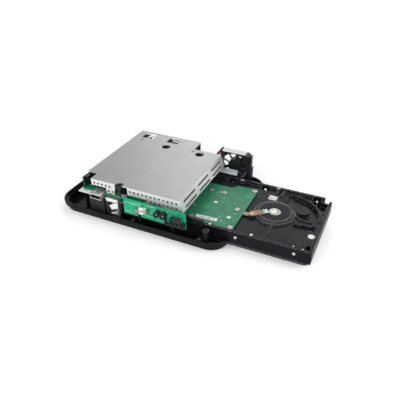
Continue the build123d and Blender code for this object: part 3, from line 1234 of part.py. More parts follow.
def drive_plug():
    """Shrouded plug at the drive's end: a flat blade in an open mouth."""
    y0, y1 = PLUG_Y - PLUG_WIDTH / 2, PLUG_Y + PLUG_WIDTH / 2
    z = -PLUG_DROP
    half = PLUG_HEIGHT / 2
    plug = block(0, PLUG_DEPTH + 1.6, y0 - 1.2, y1 + 1.2, z - half - 1.0, z + half + 1.0)
    plug -= block(-1, PLUG_DEPTH, y0, y1, z - half, z + half)
    return plug + block(0.6, PLUG_DEPTH + 0.5, y0 + 1.5, y1 - 1.5, z - BLADE_THICK / 2, z + BLADE_THICK / 2)


def drive_labels():
    """Blank stickers: a long one on the board, a square one and a round one on the deck."""
    board_z = -DRIVE_BOARD_DROP
    strip = Pos(32.9, 12.6, board_z) * Rot(0, 0, 3) * block(-11.8, 11.8, -2.4, 2.4, 0, LABEL_THICK)
    square = Pos(HUB_X - 10.7, HUB_Y + 29.7, DECK_Z) * block(-4.6, 4.6, -4.6, 3.9, 0, LABEL_THICK)
    pad_z = DECK_Z + END_PAD_RAISE
    round_one = post(DRIVE_LENGTH - 6.8, HUB_Y - 24.1, pad_z, pad_z + LABEL_THICK, 3.6)
    return [strip, square, round_one]


def platter():
    z0 = PLATTER_Z - DRIVE_Z
    return post(HUB_X, HUB_Y, z0, z0 + PLATTER_THICK, PLATTER_RADIUS) - post(HUB_X, HUB_Y, z0 - 1, z0 + 3, PLATTER_BORE)


def spindle_rotor():
    """Hub that turns on the casting's bearing post, with the clamp ring under the platter."""
    z0 = PLATTER_Z - DRIVE_Z
    hub = post(HUB_X, HUB_Y, z0 - CLAMP_THICK - 1.0, z0 + PLATTER_THICK, ROTOR_RADIUS)
    hub += post(HUB_X, HUB_Y, z0 - CLAMP_THICK, z0, CLAMP_RADIUS)
    return hub - post(HUB_X, HUB_Y, z0 - 2.65, z0 + 5, 4.0 + RUNNING_GAP)


def head_arm():
    """Swinging arm, parked with its head just off the platter's rim."""
    z1 = PLATTER_Z - DRIVE_Z - 0.6
    z0 = z1 - ARM_THICK
    to_hub = math.hypot(HUB_X - ARM_PIVOT_X, HUB_Y - ARM_PIVOT_Y)
    park = PLATTER_RADIUS + HEAD_PARK_GAP
    between = (to_hub ** 2 + ARM_REACH ** 2 - park ** 2) / (2 * to_hub * ARM_REACH)
    hub_way = math.degrees(math.atan2(HUB_Y - ARM_PIVOT_Y, HUB_X - ARM_PIVOT_X))
    toward = hub_way - math.degrees(math.acos(between))
    plan = [(0, -4.4), (ARM_REACH * 0.7, -2.0), (ARM_REACH, -0.9), (ARM_REACH, 0.9),
            (ARM_REACH * 0.7, 2.0), (0, 4.4)]
    arm = prism(plan, z0, z1)
    arm += post(0, 0, z0 - 0.4, z1 + 3.4, ARM_HUB_RADIUS)
    coil = [(-4, -3.4), (-15, -8.5), (-18.5, -4.5), (-18.5, 4.5), (-15, 8.5), (-4, 3.4)]
    arm += prism(coil, z0, z1)
    arm -= post(0, 0, z0 - 3, z1 + 6, PIVOT_POST_RADIUS + RUNNING_GAP)
    return Pos(ARM_PIVOT_X, ARM_PIVOT_Y, 0) * Rot(0, 0, toward) * arm


write("drive_casting", place(drive_casting()), (0.08, 0.09, 0.1))
write("drive_cover", place(drive_cover()), STEEL)
write("drive_board", place(drive_board()), GREEN)
write("drive_board_parts", place(drive_board_parts()), BLACK)
write("drive_board_screws", place(drive_board_screws()), STEEL)
write("motor_disc", place(motor_disc()), (0.12, 0.13, 0.14))
write("shaft_cap", place(shaft_cap()), STEEL)
write("motor_flex", place(motor_flex()), (0.35, 0.2, 0.1))
write("drive_plug", place(drive_plug()), BLACK)
write("drive_labels", place(drive_labels()), WHITE)
write("platter", place(platter()), STEEL)
write("spindle_rotor", place(spindle_rotor()), STEEL)
write("head_arm", place(head_arm()), STEEL)
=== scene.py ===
"""Media player with a slide-out hard drive: finishes, small parts and studio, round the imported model."""

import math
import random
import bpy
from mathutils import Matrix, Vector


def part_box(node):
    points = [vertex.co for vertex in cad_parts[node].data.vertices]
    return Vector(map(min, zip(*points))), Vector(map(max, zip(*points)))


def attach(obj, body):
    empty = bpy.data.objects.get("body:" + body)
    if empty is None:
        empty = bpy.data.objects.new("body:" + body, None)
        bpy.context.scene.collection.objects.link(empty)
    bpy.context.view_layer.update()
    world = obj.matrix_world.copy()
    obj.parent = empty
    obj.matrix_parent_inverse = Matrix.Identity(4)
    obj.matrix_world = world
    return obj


bl_info = {
    "name": "Media player with hard drive tray",
    "version": (1, 0, 0),
    "blender": (4, 5, 0),
    "location": "View3D > Sidebar > Media player",
    "description": "Dresses the opened media player: finishes, board parts, drive details and studio",
    "category": "Object",
}

import bmesh
import bpy
from mathutils import Matrix, Vector

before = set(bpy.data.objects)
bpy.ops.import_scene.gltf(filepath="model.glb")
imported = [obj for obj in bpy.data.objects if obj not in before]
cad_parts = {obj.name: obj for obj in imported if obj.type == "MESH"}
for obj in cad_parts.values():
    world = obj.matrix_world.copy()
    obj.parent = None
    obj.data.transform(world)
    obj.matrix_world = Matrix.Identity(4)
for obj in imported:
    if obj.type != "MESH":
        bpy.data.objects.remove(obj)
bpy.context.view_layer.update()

MM = 0.001
CAMERA_FROM_DRIVE = (189.9, -342.2, 277.4)     # millimetres, from the drive's near left corner
CAMERA_YAW = 24.86
CAMERA_PITCH = 33.46
CAMERA_LENS = 41.04

# The hard drive's standard sizes, in millimetres from its near left corner and its top face
SIDE_HOLES_X = (28.5, 70.1, 130.1)
SIDE_HOLES_Z = -6.35
BOTTOM_HOLES_X = (41.28, 85.73)
BOTTOM_HOLES_INSET = 3.18
DRIVE_BOARD_Z = -1.0
CASTING_DECK_Z = -3.0
STICKER_THICKNESS = 0.12

FLOOR_FADE = (0.22, 0.60)       # metres from the middle, between which the floor's lift grows
FLOOR_LIFT = (0.22, 0.95)       # emission of the floor near the object and far from it


def low_of(node):
    """A node's lowest corner, in millimetres."""
    return Vector(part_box(node)[0]) / MM


def high_of(node):
    """A node's highest corner, in millimetres."""
    return Vector(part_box(node)[1]) / MM


DRIVE = Vector((low_of("drive_casting").x, low_of("drive_casting").y, high_of("drive_casting").z))
HUB = (low_of("shaft_cap") + high_of("shaft_cap")) / 2 - DRIVE
HUB.z = 0.0
DRIVE_WIDTH = (high_of("drive_casting") - low_of("drive_casting")).y


def on_drive(x, y, z=0.0):
    """A point in the drive's own frame, in the part's millimetres."""
    return DRIVE + Vector((x, y, z))


# ---------------------------------------------------------------- settings
def tint(name, description, default):
    """A colour setting of the sidebar."""
    return bpy.props.FloatVectorProperty(name=name, description=description, default=default,
                                         subtype="COLOR", size=3, min=0.0, max=1.0)


class PlayerColours(bpy.types.PropertyGroup):
    """Colours of the player's main finishes."""
    case: tint("Case", "Moulded case base", (0.005, 0.005, 0.006))
    shield: tint("Shield", "Pierced sheet-metal shield", (0.265, 0.265, 0.267))
    main_board: tint("Main board", "Solder mask of the main board", (0.010, 0.19, 0.095))
    front_board: tint("Front board", "Solder mask of the front board", (0.012, 0.29, 0.145))
    drive_board: tint("Drive board", "Solder mask of the drive's board", (0.026, 0.19, 0.10))
    casting: tint("Casting", "Painted casting of the hard drive", (0.0050, 0.0056, 0.0075))


class StudioSettings(bpy.types.PropertyGroup):
    """Lamps and floor."""
    key_power: bpy.props.FloatProperty(name="Key", description="Large soft lamp in front",
                                       default=10.5, min=0.0, unit="POWER")
    fill_power: bpy.props.FloatProperty(name="Fill", description="Small soft lamp at the right",
                                        default=4.5, min=0.0, unit="POWER")
    sheen_power: bpy.props.FloatProperty(name="Sheen", default=7.5, min=0.0, unit="POWER",
                                         description="Soft lamp behind, for sheen on top faces")
    room_level: bpy.props.FloatProperty(name="Room", description="Even light of the room",
                                        default=0.36, min=0.0)


# ---------------------------------------------------------------- node material helpers
class Finish:
    """A node material with a Principled shader and a few pattern nodes in Object coordinates."""

    def __init__(self, name, colour, roughness, metallic=0.0, **sockets):
        self.edge = None
        self.material = bpy.data.materials.new(name)
        self.material.use_nodes = True
        tree = self.material.node_tree
        self.nodes = tree.nodes
        self.links = tree.links
        self.shader = self.nodes["Principled BSDF"]
        self.shader.inputs["Base Color"].default_value = (*colour, 1.0)
        self.shader.inputs["Roughness"].default_value = roughness
        self.shader.inputs["Metallic"].default_value = metallic
        for socket, value in sockets.items():
            self.shader.inputs[socket.replace("_", " ")].default_value = value
        self.place = self.nodes.new("ShaderNodeTexCoord").outputs["Object"]
        self.material.diffuse_color = (*colour, 1.0)

    def mapped(self, scale=(1, 1, 1), turn=(0, 0, 0)):
        """Object coordinates, stretched or turned."""
        node = self.nodes.new("ShaderNodeMapping")
        node.inputs["Scale"].default_value = scale
        node.inputs["Rotation"].default_value = turn
        self.links.new(self.place, node.inputs["Vector"])
        return node.outputs["Vector"]

    def noise(self, scale, detail=3.0, rough=0.55, at=None):
        node = self.nodes.new("ShaderNodeTexNoise")
        node.inputs["Scale"].default_value = scale
        node.inputs["Detail"].default_value = detail
        node.inputs["Roughness"].default_value = rough
        self.links.new(at or self.place, node.inputs["Vector"])
        return node.outputs["Fac"]

    def cells(self, scale, randomness=1.0, at=None):
        """Distance to the middle of the nearest cell."""
        node = self.nodes.new("ShaderNodeTexVoronoi")
        node.inputs["Scale"].default_value = scale
        node.inputs["Randomness"].default_value = randomness
        self.links.new(at or self.place, node.inputs["Vector"])
        return node.outputs["Distance"]

    def span(self, value, low, high, to_low=0.0, to_high=1.0):
        """Stretches the range from low to high over another one, and clamps it there."""
        node = self.nodes.new("ShaderNodeMapRange")
        node.inputs["From Min"].default_value = low
        node.inputs["From Max"].default_value = high
        node.inputs["To Min"].default_value = to_low
        node.inputs["To Max"].default_value = to_high
        self.links.new(value, node.inputs["Value"])
        return node.outputs["Result"]

    def mix(self, factor, low, high):
        """Mixes two colours or colour sockets."""
        node = self.nodes.new("ShaderNodeMix")
        node.data_type = "RGBA"
        self.links.new(factor, node.inputs["Factor"])
        for socket, value in ((node.inputs["A"], low), (node.inputs["B"], high)):
            if isinstance(value, tuple):
                socket.default_value = (*value, 1.0)
            else:
                self.links.new(value, socket)
        return node.outputs["Result"]

    def math(self, operation, *values):
        node = self.nodes.new("ShaderNodeMath")
        node.operation = operation
        for socket, value in zip(node.inputs, values):
            if isinstance(value, (int, float)):
                socket.default_value = value
            else:
                self.links.new(value, socket)
        return node.outputs["Value"]

    def paint(self, socket_value):
        self.links.new(socket_value, self.shader.inputs["Base Color"])

    def roughen(self, value):
        self.links.new(value, self.shader.inputs["Roughness"])

    def soften(self, edge_mm):
        """Rounds the look of sharp edges."""
        self.edge = self.nodes.new("ShaderNodeBevel")
        self.edge.samples = 6
        self.edge.inputs["Radius"].default_value = edge_mm * MM
        self.links.new(self.edge.outputs["Normal"], self.shader.inputs["Normal"])

    def worn_edge_highlight(self, base, worn_highlight):
        """Colour that turns light where soften() rounds an edge, broken up by noise: edge wear and painted
        highlight.
        """
        plain = self.nodes.new("ShaderNodeNewGeometry").outputs["Normal"]
        dot = self.nodes.new("ShaderNodeVectorMath")
        dot.operation = "DOT_PRODUCT"
        self.links.new(self.edge.outputs["Normal"], dot.inputs[0])
        self.links.new(plain, dot.inputs[1])
        edge = self.span(dot.outputs["Value"], 0.97, 0.75)
        spots = self.span(self.noise(500.0, 3.0), 0.38, 0.56)
        return self.mix(self.math("MULTIPLY", edge, spots), base, worn_highlight)

    def bump(self, height, depth_mm):
        """Fine relief, over the softened edges where there are any."""
        node = self.nodes.new("ShaderNodeBump")
        if self.edge:
            self.links.new(self.edge.outputs["Normal"], node.inputs["Normal"])
        node.inputs["Distance"].default_value = depth_mm * MM
        self.links.new(height, node.inputs["Height"])
        self.links.new(node.outputs["Normal"], self.shader.inputs["Normal"])


def shade(colour, factor):
    """A darker or lighter shade of a colour."""
    return tuple(min(1.0, channel * factor) for channel in colour)


def moulded(name, colour, roughness=0.42, grain_mm=0.35, depth_mm=0.02, spread=0.25, edge_mm=0.3,
            level=0.35):
    """Moulded plastic: spark-eroded grain, slightly uneven sheen and tone."""
    finish = Finish(name, colour, roughness, Specular_IOR_Level=level)
    finish.soften(edge_mm)
    grain = finish.noise(1000 / grain_mm, 2.0)
    cloud = finish.noise(90.0, 4.0)
    dull, bright = shade(colour, 1 - spread), shade(colour, 1 + spread)
    finish.paint(finish.mix(finish.span(cloud, 0.3, 0.7), dull, bright))
    finish.roughen(finish.span(cloud, 0.3, 0.7, roughness - 0.05, roughness + 0.06))
    finish.bump(grain, depth_mm)
    return finish.material


def rolled(name, colour, roughness, metallic=1.0, sides=None):
    """Rolled sheet: fine streaks along one way, cloudy tone and sheen, and a lighter colour on upright
    faces, painted light on the bent-down sides.
    """
    finish = Finish(name, colour, roughness, metallic)
    finish.soften(0.25)
    streaks = finish.noise(1.0, 3.0, 0.6, at=finish.mapped((900, 60, 900)))
    cloud = finish.noise(40.0, 4.0)
    fleck = finish.noise(3600.0, 1.0)
    tone = finish.math("ADD", finish.math("MULTIPLY", cloud, 0.55), finish.math("MULTIPLY", fleck, 0.45))
    base = finish.mix(finish.span(tone, 0.35, 0.65), shade(colour, 0.94), shade(colour, 1.06))
    # Painted light: upright faces fade to the lighter sides colour.
    if sides:
        upright = finish.nodes.new("ShaderNodeSeparateXYZ")
        normal = finish.nodes.new("ShaderNodeNewGeometry").outputs["True Normal"]
        finish.links.new(normal, upright.inputs[0])
        painted_light_facing = finish.math("ABSOLUTE", upright.outputs["Z"])
        base = finish.mix(finish.span(painted_light_facing, 0.9, 0.5), base, sides)
    finish.paint(base)
    finish.roughen(finish.span(streaks, 0.3, 0.7, roughness - 0.05, roughness + 0.08))
    finish.bump(streaks, 0.006)
    return finish.material


def turned(name, colour, roughness=0.25, metallic=1.0, edge_mm=0.15):
    """Turned or pressed bright metal: light scratches and small stains."""
    finish = Finish(name, colour, roughness, metallic)
    finish.soften(edge_mm)
    scratch = finish.noise(2500.0, 2.0)
    cloud = finish.noise(300.0, 3.0)
    finish.paint(finish.mix(finish.span(cloud, 0.35, 0.7), shade(colour, 0.85), colour))
    finish.roughen(finish.span(scratch, 0.3, 0.7, roughness - 0.06, roughness + 0.1))
    finish.bump(scratch, 0.01)
    return finish.material


def solder_mask(name, colour, roughness=0.32, pitch_mm=1.1, turn=0.0, lift=1.3):
    """Printed board: fine copper runs under the mask, ground planes, and small vias."""
    finish = Finish(name, colour, roughness, 0.0, Specular_IOR_Level=0.10)
    plane = finish.mapped(turn=(0.0, 0.0, turn))
    cloud = finish.noise(55.0, 3.0)
    base = finish.mix(finish.span(cloud, 0.3, 0.7), shade(colour, 0.86), shade(colour, 1.14))
    wave = finish.nodes.new("ShaderNodeTexWave")
    wave.wave_type = "BANDS"
    wave.bands_direction = "DIAGONAL"
    wave.inputs["Scale"].default_value = 1000 / (pitch_mm * 2.2)
    wave.inputs["Distortion"].default_value = 7.0
    wave.inputs["Detail"].default_value = 1.0
    wave.inputs["Detail Scale"].default_value = 0.6
    finish.links.new(plane, wave.inputs["Vector"])
    runs = finish.span(wave.outputs["Fac"], 0.5, 0.75)
    where = finish.span(finish.noise(120.0, 1.0, at=plane), 0.46, 0.54)
    copper = finish.mix(finish.math("MULTIPLY", runs, where), base, shade(colour, lift))
    via = finish.cells(1000 / (pitch_mm * 1.7), randomness=0.9, at=plane)
    via_dot = finish.span(via, 0.10, 0.17, 1.0, 0.0)
    grit = finish.cells(1000 / (pitch_mm * 0.75), randomness=1.0, at=plane)
    grit_dot = finish.span(grit, 0.12, 0.22, 1.0, 0.0)
    dark = finish.mix(finish.math("MULTIPLY", grit_dot, 0.3), copper, shade(colour, 0.35))
    finish.paint(finish.mix(finish.math("MULTIPLY", via_dot, 0.3), dark, (0.40, 0.55, 0.42)))
    finish.roughen(finish.span(cloud, 0.3, 0.7, roughness - 0.05, roughness + 0.08))
    finish.bump(runs, 0.012)
    return finish.material


def painted_casting(name, colour, roughness=0.4, edge_mm=0.55):
    """Cast metal under dark paint: orange peel, and light rounded edges that are both bare metal from wear
    and painted highlight.
    """
    finish = Finish(name, colour, roughness, Specular_IOR_Level=0.09)
    finish.soften(edge_mm)
    peel = finish.noise(1400.0, 3.0)
    cloud = finish.noise(70.0, 4.0)
    tone = finish.mix(finish.span(cloud, 0.3, 0.7), shade(colour, 0.8), shade(colour, 1.25))
    # Light edges: wear and painted highlight lines.
    finish.paint(finish.worn_edge_highlight(tone, (0.45, 0.47, 0.5)))
    finish.roughen(finish.span(cloud, 0.3, 0.7, roughness - 0.07, roughness + 0.08))
    finish.bump(peel, 0.02)
    return finish.material


def sleeve(name, colour, roughness=0.35):
    """Smooth insulation or film, with slight waviness."""
    finish = Finish(name, colour, roughness)
    wave = finish.noise(350.0, 2.0)
    finish.paint(finish.mix(finish.span(wave, 0.3, 0.7), shade(colour, 0.85), shade(colour, 1.15)))
    finish.bump(wave, 0.02)
    return finish.material


def open_cell(name, colour):
    """Foam strip: open cells, shaded between them."""
    finish = Finish(name, colour, 0.9)
    cell = finish.cells(1600.0)
    finish.paint(finish.mix(finish.span(cell, 0.1, 0.6), colour, shade(colour, 0.8)))
    finish.bump(cell, 0.15)
    return finish.material


def dress(material, *nodes):
    """Gives CAD nodes a material in place of their own."""
    for node in nodes:
        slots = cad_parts[node].data.materials
        slots.clear()
        slots.append(material)


# ---------------------------------------------------------------- mesh helpers, in millimetres
AXIS_TURN = {"Y": Matrix.Rotation(math.radians(-90), 4, "X"), "Z": Matrix.Identity(4)}


def brick(mesh, low, high, soften=0.0, turn=0.0, finish=0):
    """A block between two corners, with softened edges, turned about its own upright axis."""
    low, high = Vector(low), Vector(high)
    size = high - low
    place = Matrix.Translation((low + high) / 2) @ Matrix.Rotation(math.radians(turn), 4, "Z")
    made = bmesh.ops.create_cube(mesh, size=1.0, matrix=place @ Matrix.Diagonal((*size, 1.0)))
    faces = {face for vert in made["verts"] for face in vert.link_faces}
    for face in faces:
        face.material_index = finish
    if soften:
        edges = list({edge for vert in made["verts"] for edge in vert.link_edges})
        bmesh.ops.bevel(mesh, geom=edges, offset=soften, offset_type="OFFSET", segments=1, profile=0.5,
                        affect="EDGES", material=-1)


def drum(mesh, centre, radius, height, axis="Z", top=None, sides=20, finish=0):
    """A short cylinder or cone that stands on centre, along the Y or Z axis."""
    place = Matrix.Translation(Vector(centre)) @ AXIS_TURN[axis] @ Matrix.Translation((0, 0, height / 2))
    made = bmesh.ops.create_cone(mesh, cap_ends=True, segments=sides, radius1=radius,
                                 radius2=radius if top is None else top, depth=height, matrix=place)
    for face in {face for vert in made["verts"] for face in vert.link_faces}:
        face.material_index = finish


def spun(mesh, profile, centre, axis="Z", steps=24, finish=0, closed=True):
    """A ring or cup: a profile of (radius, height) pairs, spun once round an axis through centre.

    Its finish also goes to the untagged faces that are already in the mesh.
    """
    place = Matrix.Translation(Vector(centre)) @ AXIS_TURN[axis]
    verts = [mesh.verts.new(place @ Vector((radius, 0, height))) for radius, height in profile]
    pairs = list(zip(verts, verts[1:]))
    if closed:
        pairs.append((verts[-1], verts[0]))
    edges = [mesh.edges.new(pair) for pair in pairs]
    bmesh.ops.spin(mesh, geom=verts + edges, cent=Vector(centre), axis=place.to_3x3() @ Vector((0, 0, 1)),
                   angle=math.radians(360), steps=steps, use_merge=True)
    for face in mesh.faces:
        if not face.tag:
            face.material_index = finish
            face.tag = True


def panel(mesh, outline, y0, y1):
    """A flat outline seen from the front, drawn back from y0 to y1."""
    face = mesh.faces.new([mesh.verts.new((x, y0, z)) for x, z in outline])
    made = bmesh.ops.extrude_face_region(mesh, geom=[face])
    verts = [one for one in made["geom"] if isinstance(one, bmesh.types.BMVert)]
    bmesh.ops.translate(mesh, verts=verts, vec=(0, y1 - y0, 0))


def keep(mesh, name, body, materials):
    """Turns a mesh in millimetres into a piece that rides on a body."""
    bmesh.ops.remove_doubles(mesh, verts=mesh.verts, dist=1e-4)
    bmesh.ops.recalc_face_normals(mesh, faces=mesh.faces)
    bmesh.ops.scale(mesh, verts=mesh.verts, vec=(MM, MM, MM))
    data = bpy.data.meshes.new(name)
    mesh.to_mesh(data)
    mesh.free()
    for material in materials:
        data.materials.append(material)
    piece = bpy.data.objects.new(name, data)
    bpy.context.scene.collection.objects.link(piece)
    data.shade_smooth()
    data.set_sharp_from_angle(angle=math.radians(35))
    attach(piece, body)


# ---------------------------------------------------------------- operators
class PLAYER_OT_case(bpy.types.Operator):
    """Finish the case base, bay rails, feet and the other black mouldings"""
    bl_idname = "player.case"
    bl_label = "Case and mouldings"

    def execute(self, context):
        colours = context.scene.player_colours
        dress(moulded("case_black", colours.case, 0.22, level=0.10, edge_mm=0.9),
              "base_tray", "near_bay_rail", "far_bay_rail")
        dress(moulded("moulding_black", (0.018, 0.018, 0.021), 0.34, level=0.12),
              "usb_riser", "usb_tongue", "card_contacts", "lamp_holders", "key_frame", "power_key",
              "fan_frame", "fan_rotor", "fan_holder", "power_jack", "optical_port", "video_jack",
              "board_header", "drive_receptacle", "drive_plug")
        dress(moulded("rubber_black", (0.012, 0.012, 0.012), 0.6, 0.6, 0.05), "rubber_feet", "rubber_stop")
        return {"FINISHED"}


class PLAYER_OT_sheet_metal(bpy.types.Operator):
    """Finish the shield, plate, bracket, cage and shells"""
    bl_idname = "player.sheet_metal"
    bl_label = "Sheet metal"

    def execute(self, context):
        colours = context.scene.player_colours
        # The shield's bent-down sides take a lighter colour: painted light.
        dress(rolled("shield_steel", colours.shield, 0.40, metallic=0.65, sides=(0.64, 0.65, 0.65)),
              "shield_cover")
        dress(rolled("plate_zinc", (0.62, 0.63, 0.64), 0.3, metallic=0.7), "lower_plate")
        dress(rolled("port_steel", (0.22, 0.22, 0.22), 0.35), "lan_port", "hdmi_port")
        dress(rolled("socket_steel", (0.50, 0.50, 0.49), 0.25, metallic=0.7), "usb_shell")
        dress(turned("cage_steel", (0.34, 0.34, 0.34), 0.25, metallic=0.7), "card_cage")
        dress(rolled("bracket_grey", (0.48, 0.54, 0.58), 0.4, metallic=0.2), "fan_bracket")
        dress(turned("screw_steel", (0.34, 0.32, 0.29), 0.35, metallic=0.6, edge_mm=0.3),
              "base_screws", "board_screws", "drive_board_screws")
        dress(turned("spacer_brass", (0.6, 0.45, 0.2), 0.3), "board_spacers")
        dress(turned("sink_aluminium", (0.12, 0.12, 0.13), 0.5), "heat_sink")
        return {"FINISHED"}


class PLAYER_OT_boards(bpy.types.Operator):
    """Finish the printed boards and the parts soldered to them"""
    bl_idname = "player.boards"
    bl_label = "Boards"

    def execute(self, context):
        colours = context.scene.player_colours
        dress(solder_mask("main_mask", colours.main_board), "main_board", "link_board")
        # The side board's mask is the main board's green darkened to 0.35: painted shade on the upright
        # board.
        dress(solder_mask("side_mask_painted_shade", shade(colours.main_board, 0.35)), "side_board")
        dress(solder_mask("front_mask", colours.front_board, 0.3, 0.9, lift=1.2), "front_board")
        dress(solder_mask("drive_mask", colours.drive_board, 0.3, 1.3, 0.7854), "drive_board")
        dress(moulded("chip_black", (0.02, 0.02, 0.021), 0.45, 0.2), "small_parts", "media_processor",
              "memory_chips", "drive_board_parts")
        dress(moulded("switch_grey", (0.1, 0.1, 0.11), 0.4), "tact_switch")
        dress(sleeve("can_sleeve", (0.05, 0.06, 0.1)), "board_capacitors", "front_capacitor")
        dress(sleeve("amber_tape", (0.62, 0.24, 0.03), 0.25), "insulating_tape")
        dress(moulded("white_housing", (0.74, 0.74, 0.70), 0.4, spread=0.05), "ir_receiver", "fan_plug")
        dress(sleeve("lamp_clear", (0.6, 0.64, 0.6), 0.15), "indicator_lamps")
        return {"FINISHED"}


class PLAYER_OT_fan(bpy.types.Operator):
    """Finish the fan's foam and leads"""
    bl_idname = "player.fan"
    bl_label = "Fan foam and leads"

    def execute(self, context):
        dress(open_cell("foam_white", (0.84, 0.83, 0.85)), "fan_foam")
        dress(sleeve("lead_red", (0.5, 0.012, 0.012)), "fan_lead_red")
        dress(sleeve("lead_black", (0.015, 0.015, 0.015)), "fan_lead_black")
        return {"FINISHED"}


class PLAYER_OT_drive(bpy.types.Operator):
    """Finish the hard drive's casting, cover, motor and moving parts"""
    bl_idname = "player.drive"
    bl_label = "Hard drive"

    def execute(self, context):
        colours = context.scene.player_colours
        dress(painted_casting("casting_paint", colours.casting), "drive_casting")
        dress(moulded("motor_paint", (0.007, 0.007, 0.009), 0.26, 0.3, 0.002, level=0.05, edge_mm=0.45),
              "motor_disc")
        # The drive's cover is darkened to near black: painted shade for the underside in the drive's shadow.
        dress(rolled("cover_painted_shade", (0.035, 0.035, 0.037), 0.45, metallic=0.5), "drive_cover")
        dress(turned("cap_steel", (0.7, 0.7, 0.69), 0.2), "shaft_cap")
        dress(sleeve("flex_amber", (0.22, 0.10, 0.035), 0.3), "motor_flex")
        dress(moulded("sticker_white", (0.75, 0.75, 0.73), 0.5, spread=0.04), "drive_labels")
        dress(turned("platter_mirror", (0.75, 0.75, 0.76), 0.08), "platter")
        dress(turned("arm_aluminium", (0.6, 0.6, 0.61), 0.3), "spindle_rotor", "head_arm")
        return {"FINISHED"}


class PLAYER_OT_drive_details(bpy.types.Operator):
    """Add the drive's hole inserts, board parts, pads, motor rims with painted highlights, cable end,
    sticker bars and ribs
    """
    bl_idname = "player.drive_details"
    bl_label = "Drive details"

    def execute(self, context):
        tin = turned("bright_tin", (0.60, 0.60, 0.58), 0.2)
        chip = moulded("part_black", (0.02, 0.02, 0.021), 0.45, 0.2)
        ceramic = moulded("part_tan", (0.32, 0.22, 0.13), 0.4, 0.2, spread=0.15)
        cream = moulded("cream_pad", (0.72, 0.62, 0.48), 0.45, 0.3, spread=0.08)
        drive_hole_inserts(tin)
        drive_board_chips(tin, chip, ceramic)
        drive_board_pads(cream, tin)
        motor_rims()
        flex_end(tin)
        sticker_bars()
        casting_marks(tin)
        casting_ribs(context.scene.player_colours.casting)
        return {"FINISHED"}


def drive_hole_inserts(tin):
    """Threaded seats in the drive's side holes and the rims of its bottom holes."""
    mesh = bmesh.new()
    cup = ((0.0, 2.36), (1.58, 2.36), (1.58, 0.02), (1.38, 0.02), (1.12, 0.35), (1.12, 1.7), (0.0, 1.7))
    ring = ((1.58, -0.02), (1.38, -0.02), (1.2, -0.5), (1.2, -2.8), (1.58, -2.8))
    for x in SIDE_HOLES_X:
        spun(mesh, cup, on_drive(x, 0.0, SIDE_HOLES_Z), "Y")
        spun(mesh, ring, on_drive(x, DRIVE_WIDTH, SIDE_HOLES_Z), "Y")
    for x in BOTTOM_HOLES_X:
        for y in (BOTTOM_HOLES_INSET, DRIVE_WIDTH - BOTTOM_HOLES_INSET):
            spun(mesh, [(radius, -height) for radius, height in cup], on_drive(x, y))
    keep(mesh, "drive_hole_inserts", "drive", [tin])


def drive_board_chips(tin, chip, ceramic):
    """Small parts soldered to the outer face of the drive's board, in loose rows."""
    mesh = bmesh.new()
    dice = random.Random(11)
    z = DRIVE_BOARD_Z
    for centre_x, centre_y, columns, rows in ((47.0, 33.0, 4, 3), (26.0, 24.0, 4, 2), (50.0, 63.0, 3, 4),
                                              (24.0, 52.0, 4, 3), (40.0, 75.0, 4, 2), (12.0, 45.0, 2, 4)):
        for column in range(columns):
            for row in range(rows):
                if dice.random() < 0.25:
                    continue
                x = centre_x + (column - columns / 2) * 2.6 + dice.uniform(-0.4, 0.4)
                y = centre_y + (row - rows / 2) * 2.2 + dice.uniform(-0.3, 0.3)
                turn = dice.choice((0, 90, 45))
                brick(mesh, on_drive(x - 0.42, y - 0.22, z), on_drive(x + 0.42, y + 0.22, z + 0.28), 0.05,
                      turn, dice.choice((1, 1, 2)))
    keep(mesh, "drive_board_chips", "drive", [tin, chip, ceramic])


def drive_board_pads(cream, tin):
    """Two square pads, scattered and lined-up test points, and one red dot."""
    mesh = bmesh.new()
    z = DRIVE_BOARD_Z
    for x, y in ((30.2, 43.6), (53.9, 22.8)):
        brick(mesh, on_drive(x - 1.9, y - 1.5, z), on_drive(x + 1.9, y + 1.5, z + 0.10), 0.04, 3, 1)
        brick(mesh, on_drive(x - 1.6, y - 1.2, z), on_drive(x + 1.6, y + 1.2, z + 0.16), 0.04, 3, 0)
        brick(mesh, on_drive(x - 0.5, y - 0.35, z), on_drive(x + 0.5, y + 0.35, z + 0.24), 0.04, 3, 1)
    dice = random.Random(5)
    for i in range(34):
        drum(mesh, on_drive(dice.uniform(8, 61), dice.uniform(8, 75), z), dice.choice((0.3, 0.4)), 0.05,
             sides=10, finish=1)
    for i in range(11):
        drum(mesh, on_drive(60.0 + 0.12 * i, 62.0 + 1.3 * i, z), 0.36, 0.05, sides=10, finish=3)
    drum(mesh, on_drive(23.6, 69.5, z), 0.6, 0.08, sides=14, finish=2)
    red = moulded("red_dot", (0.6, 0.03, 0.03), 0.4, 0.3, spread=0.1)
    dark = sleeve("pad_blue_green", (0.012, 0.10, 0.10), 0.3)
    keep(mesh, "drive_board_pads", "drive", [cream, tin, red, dark])


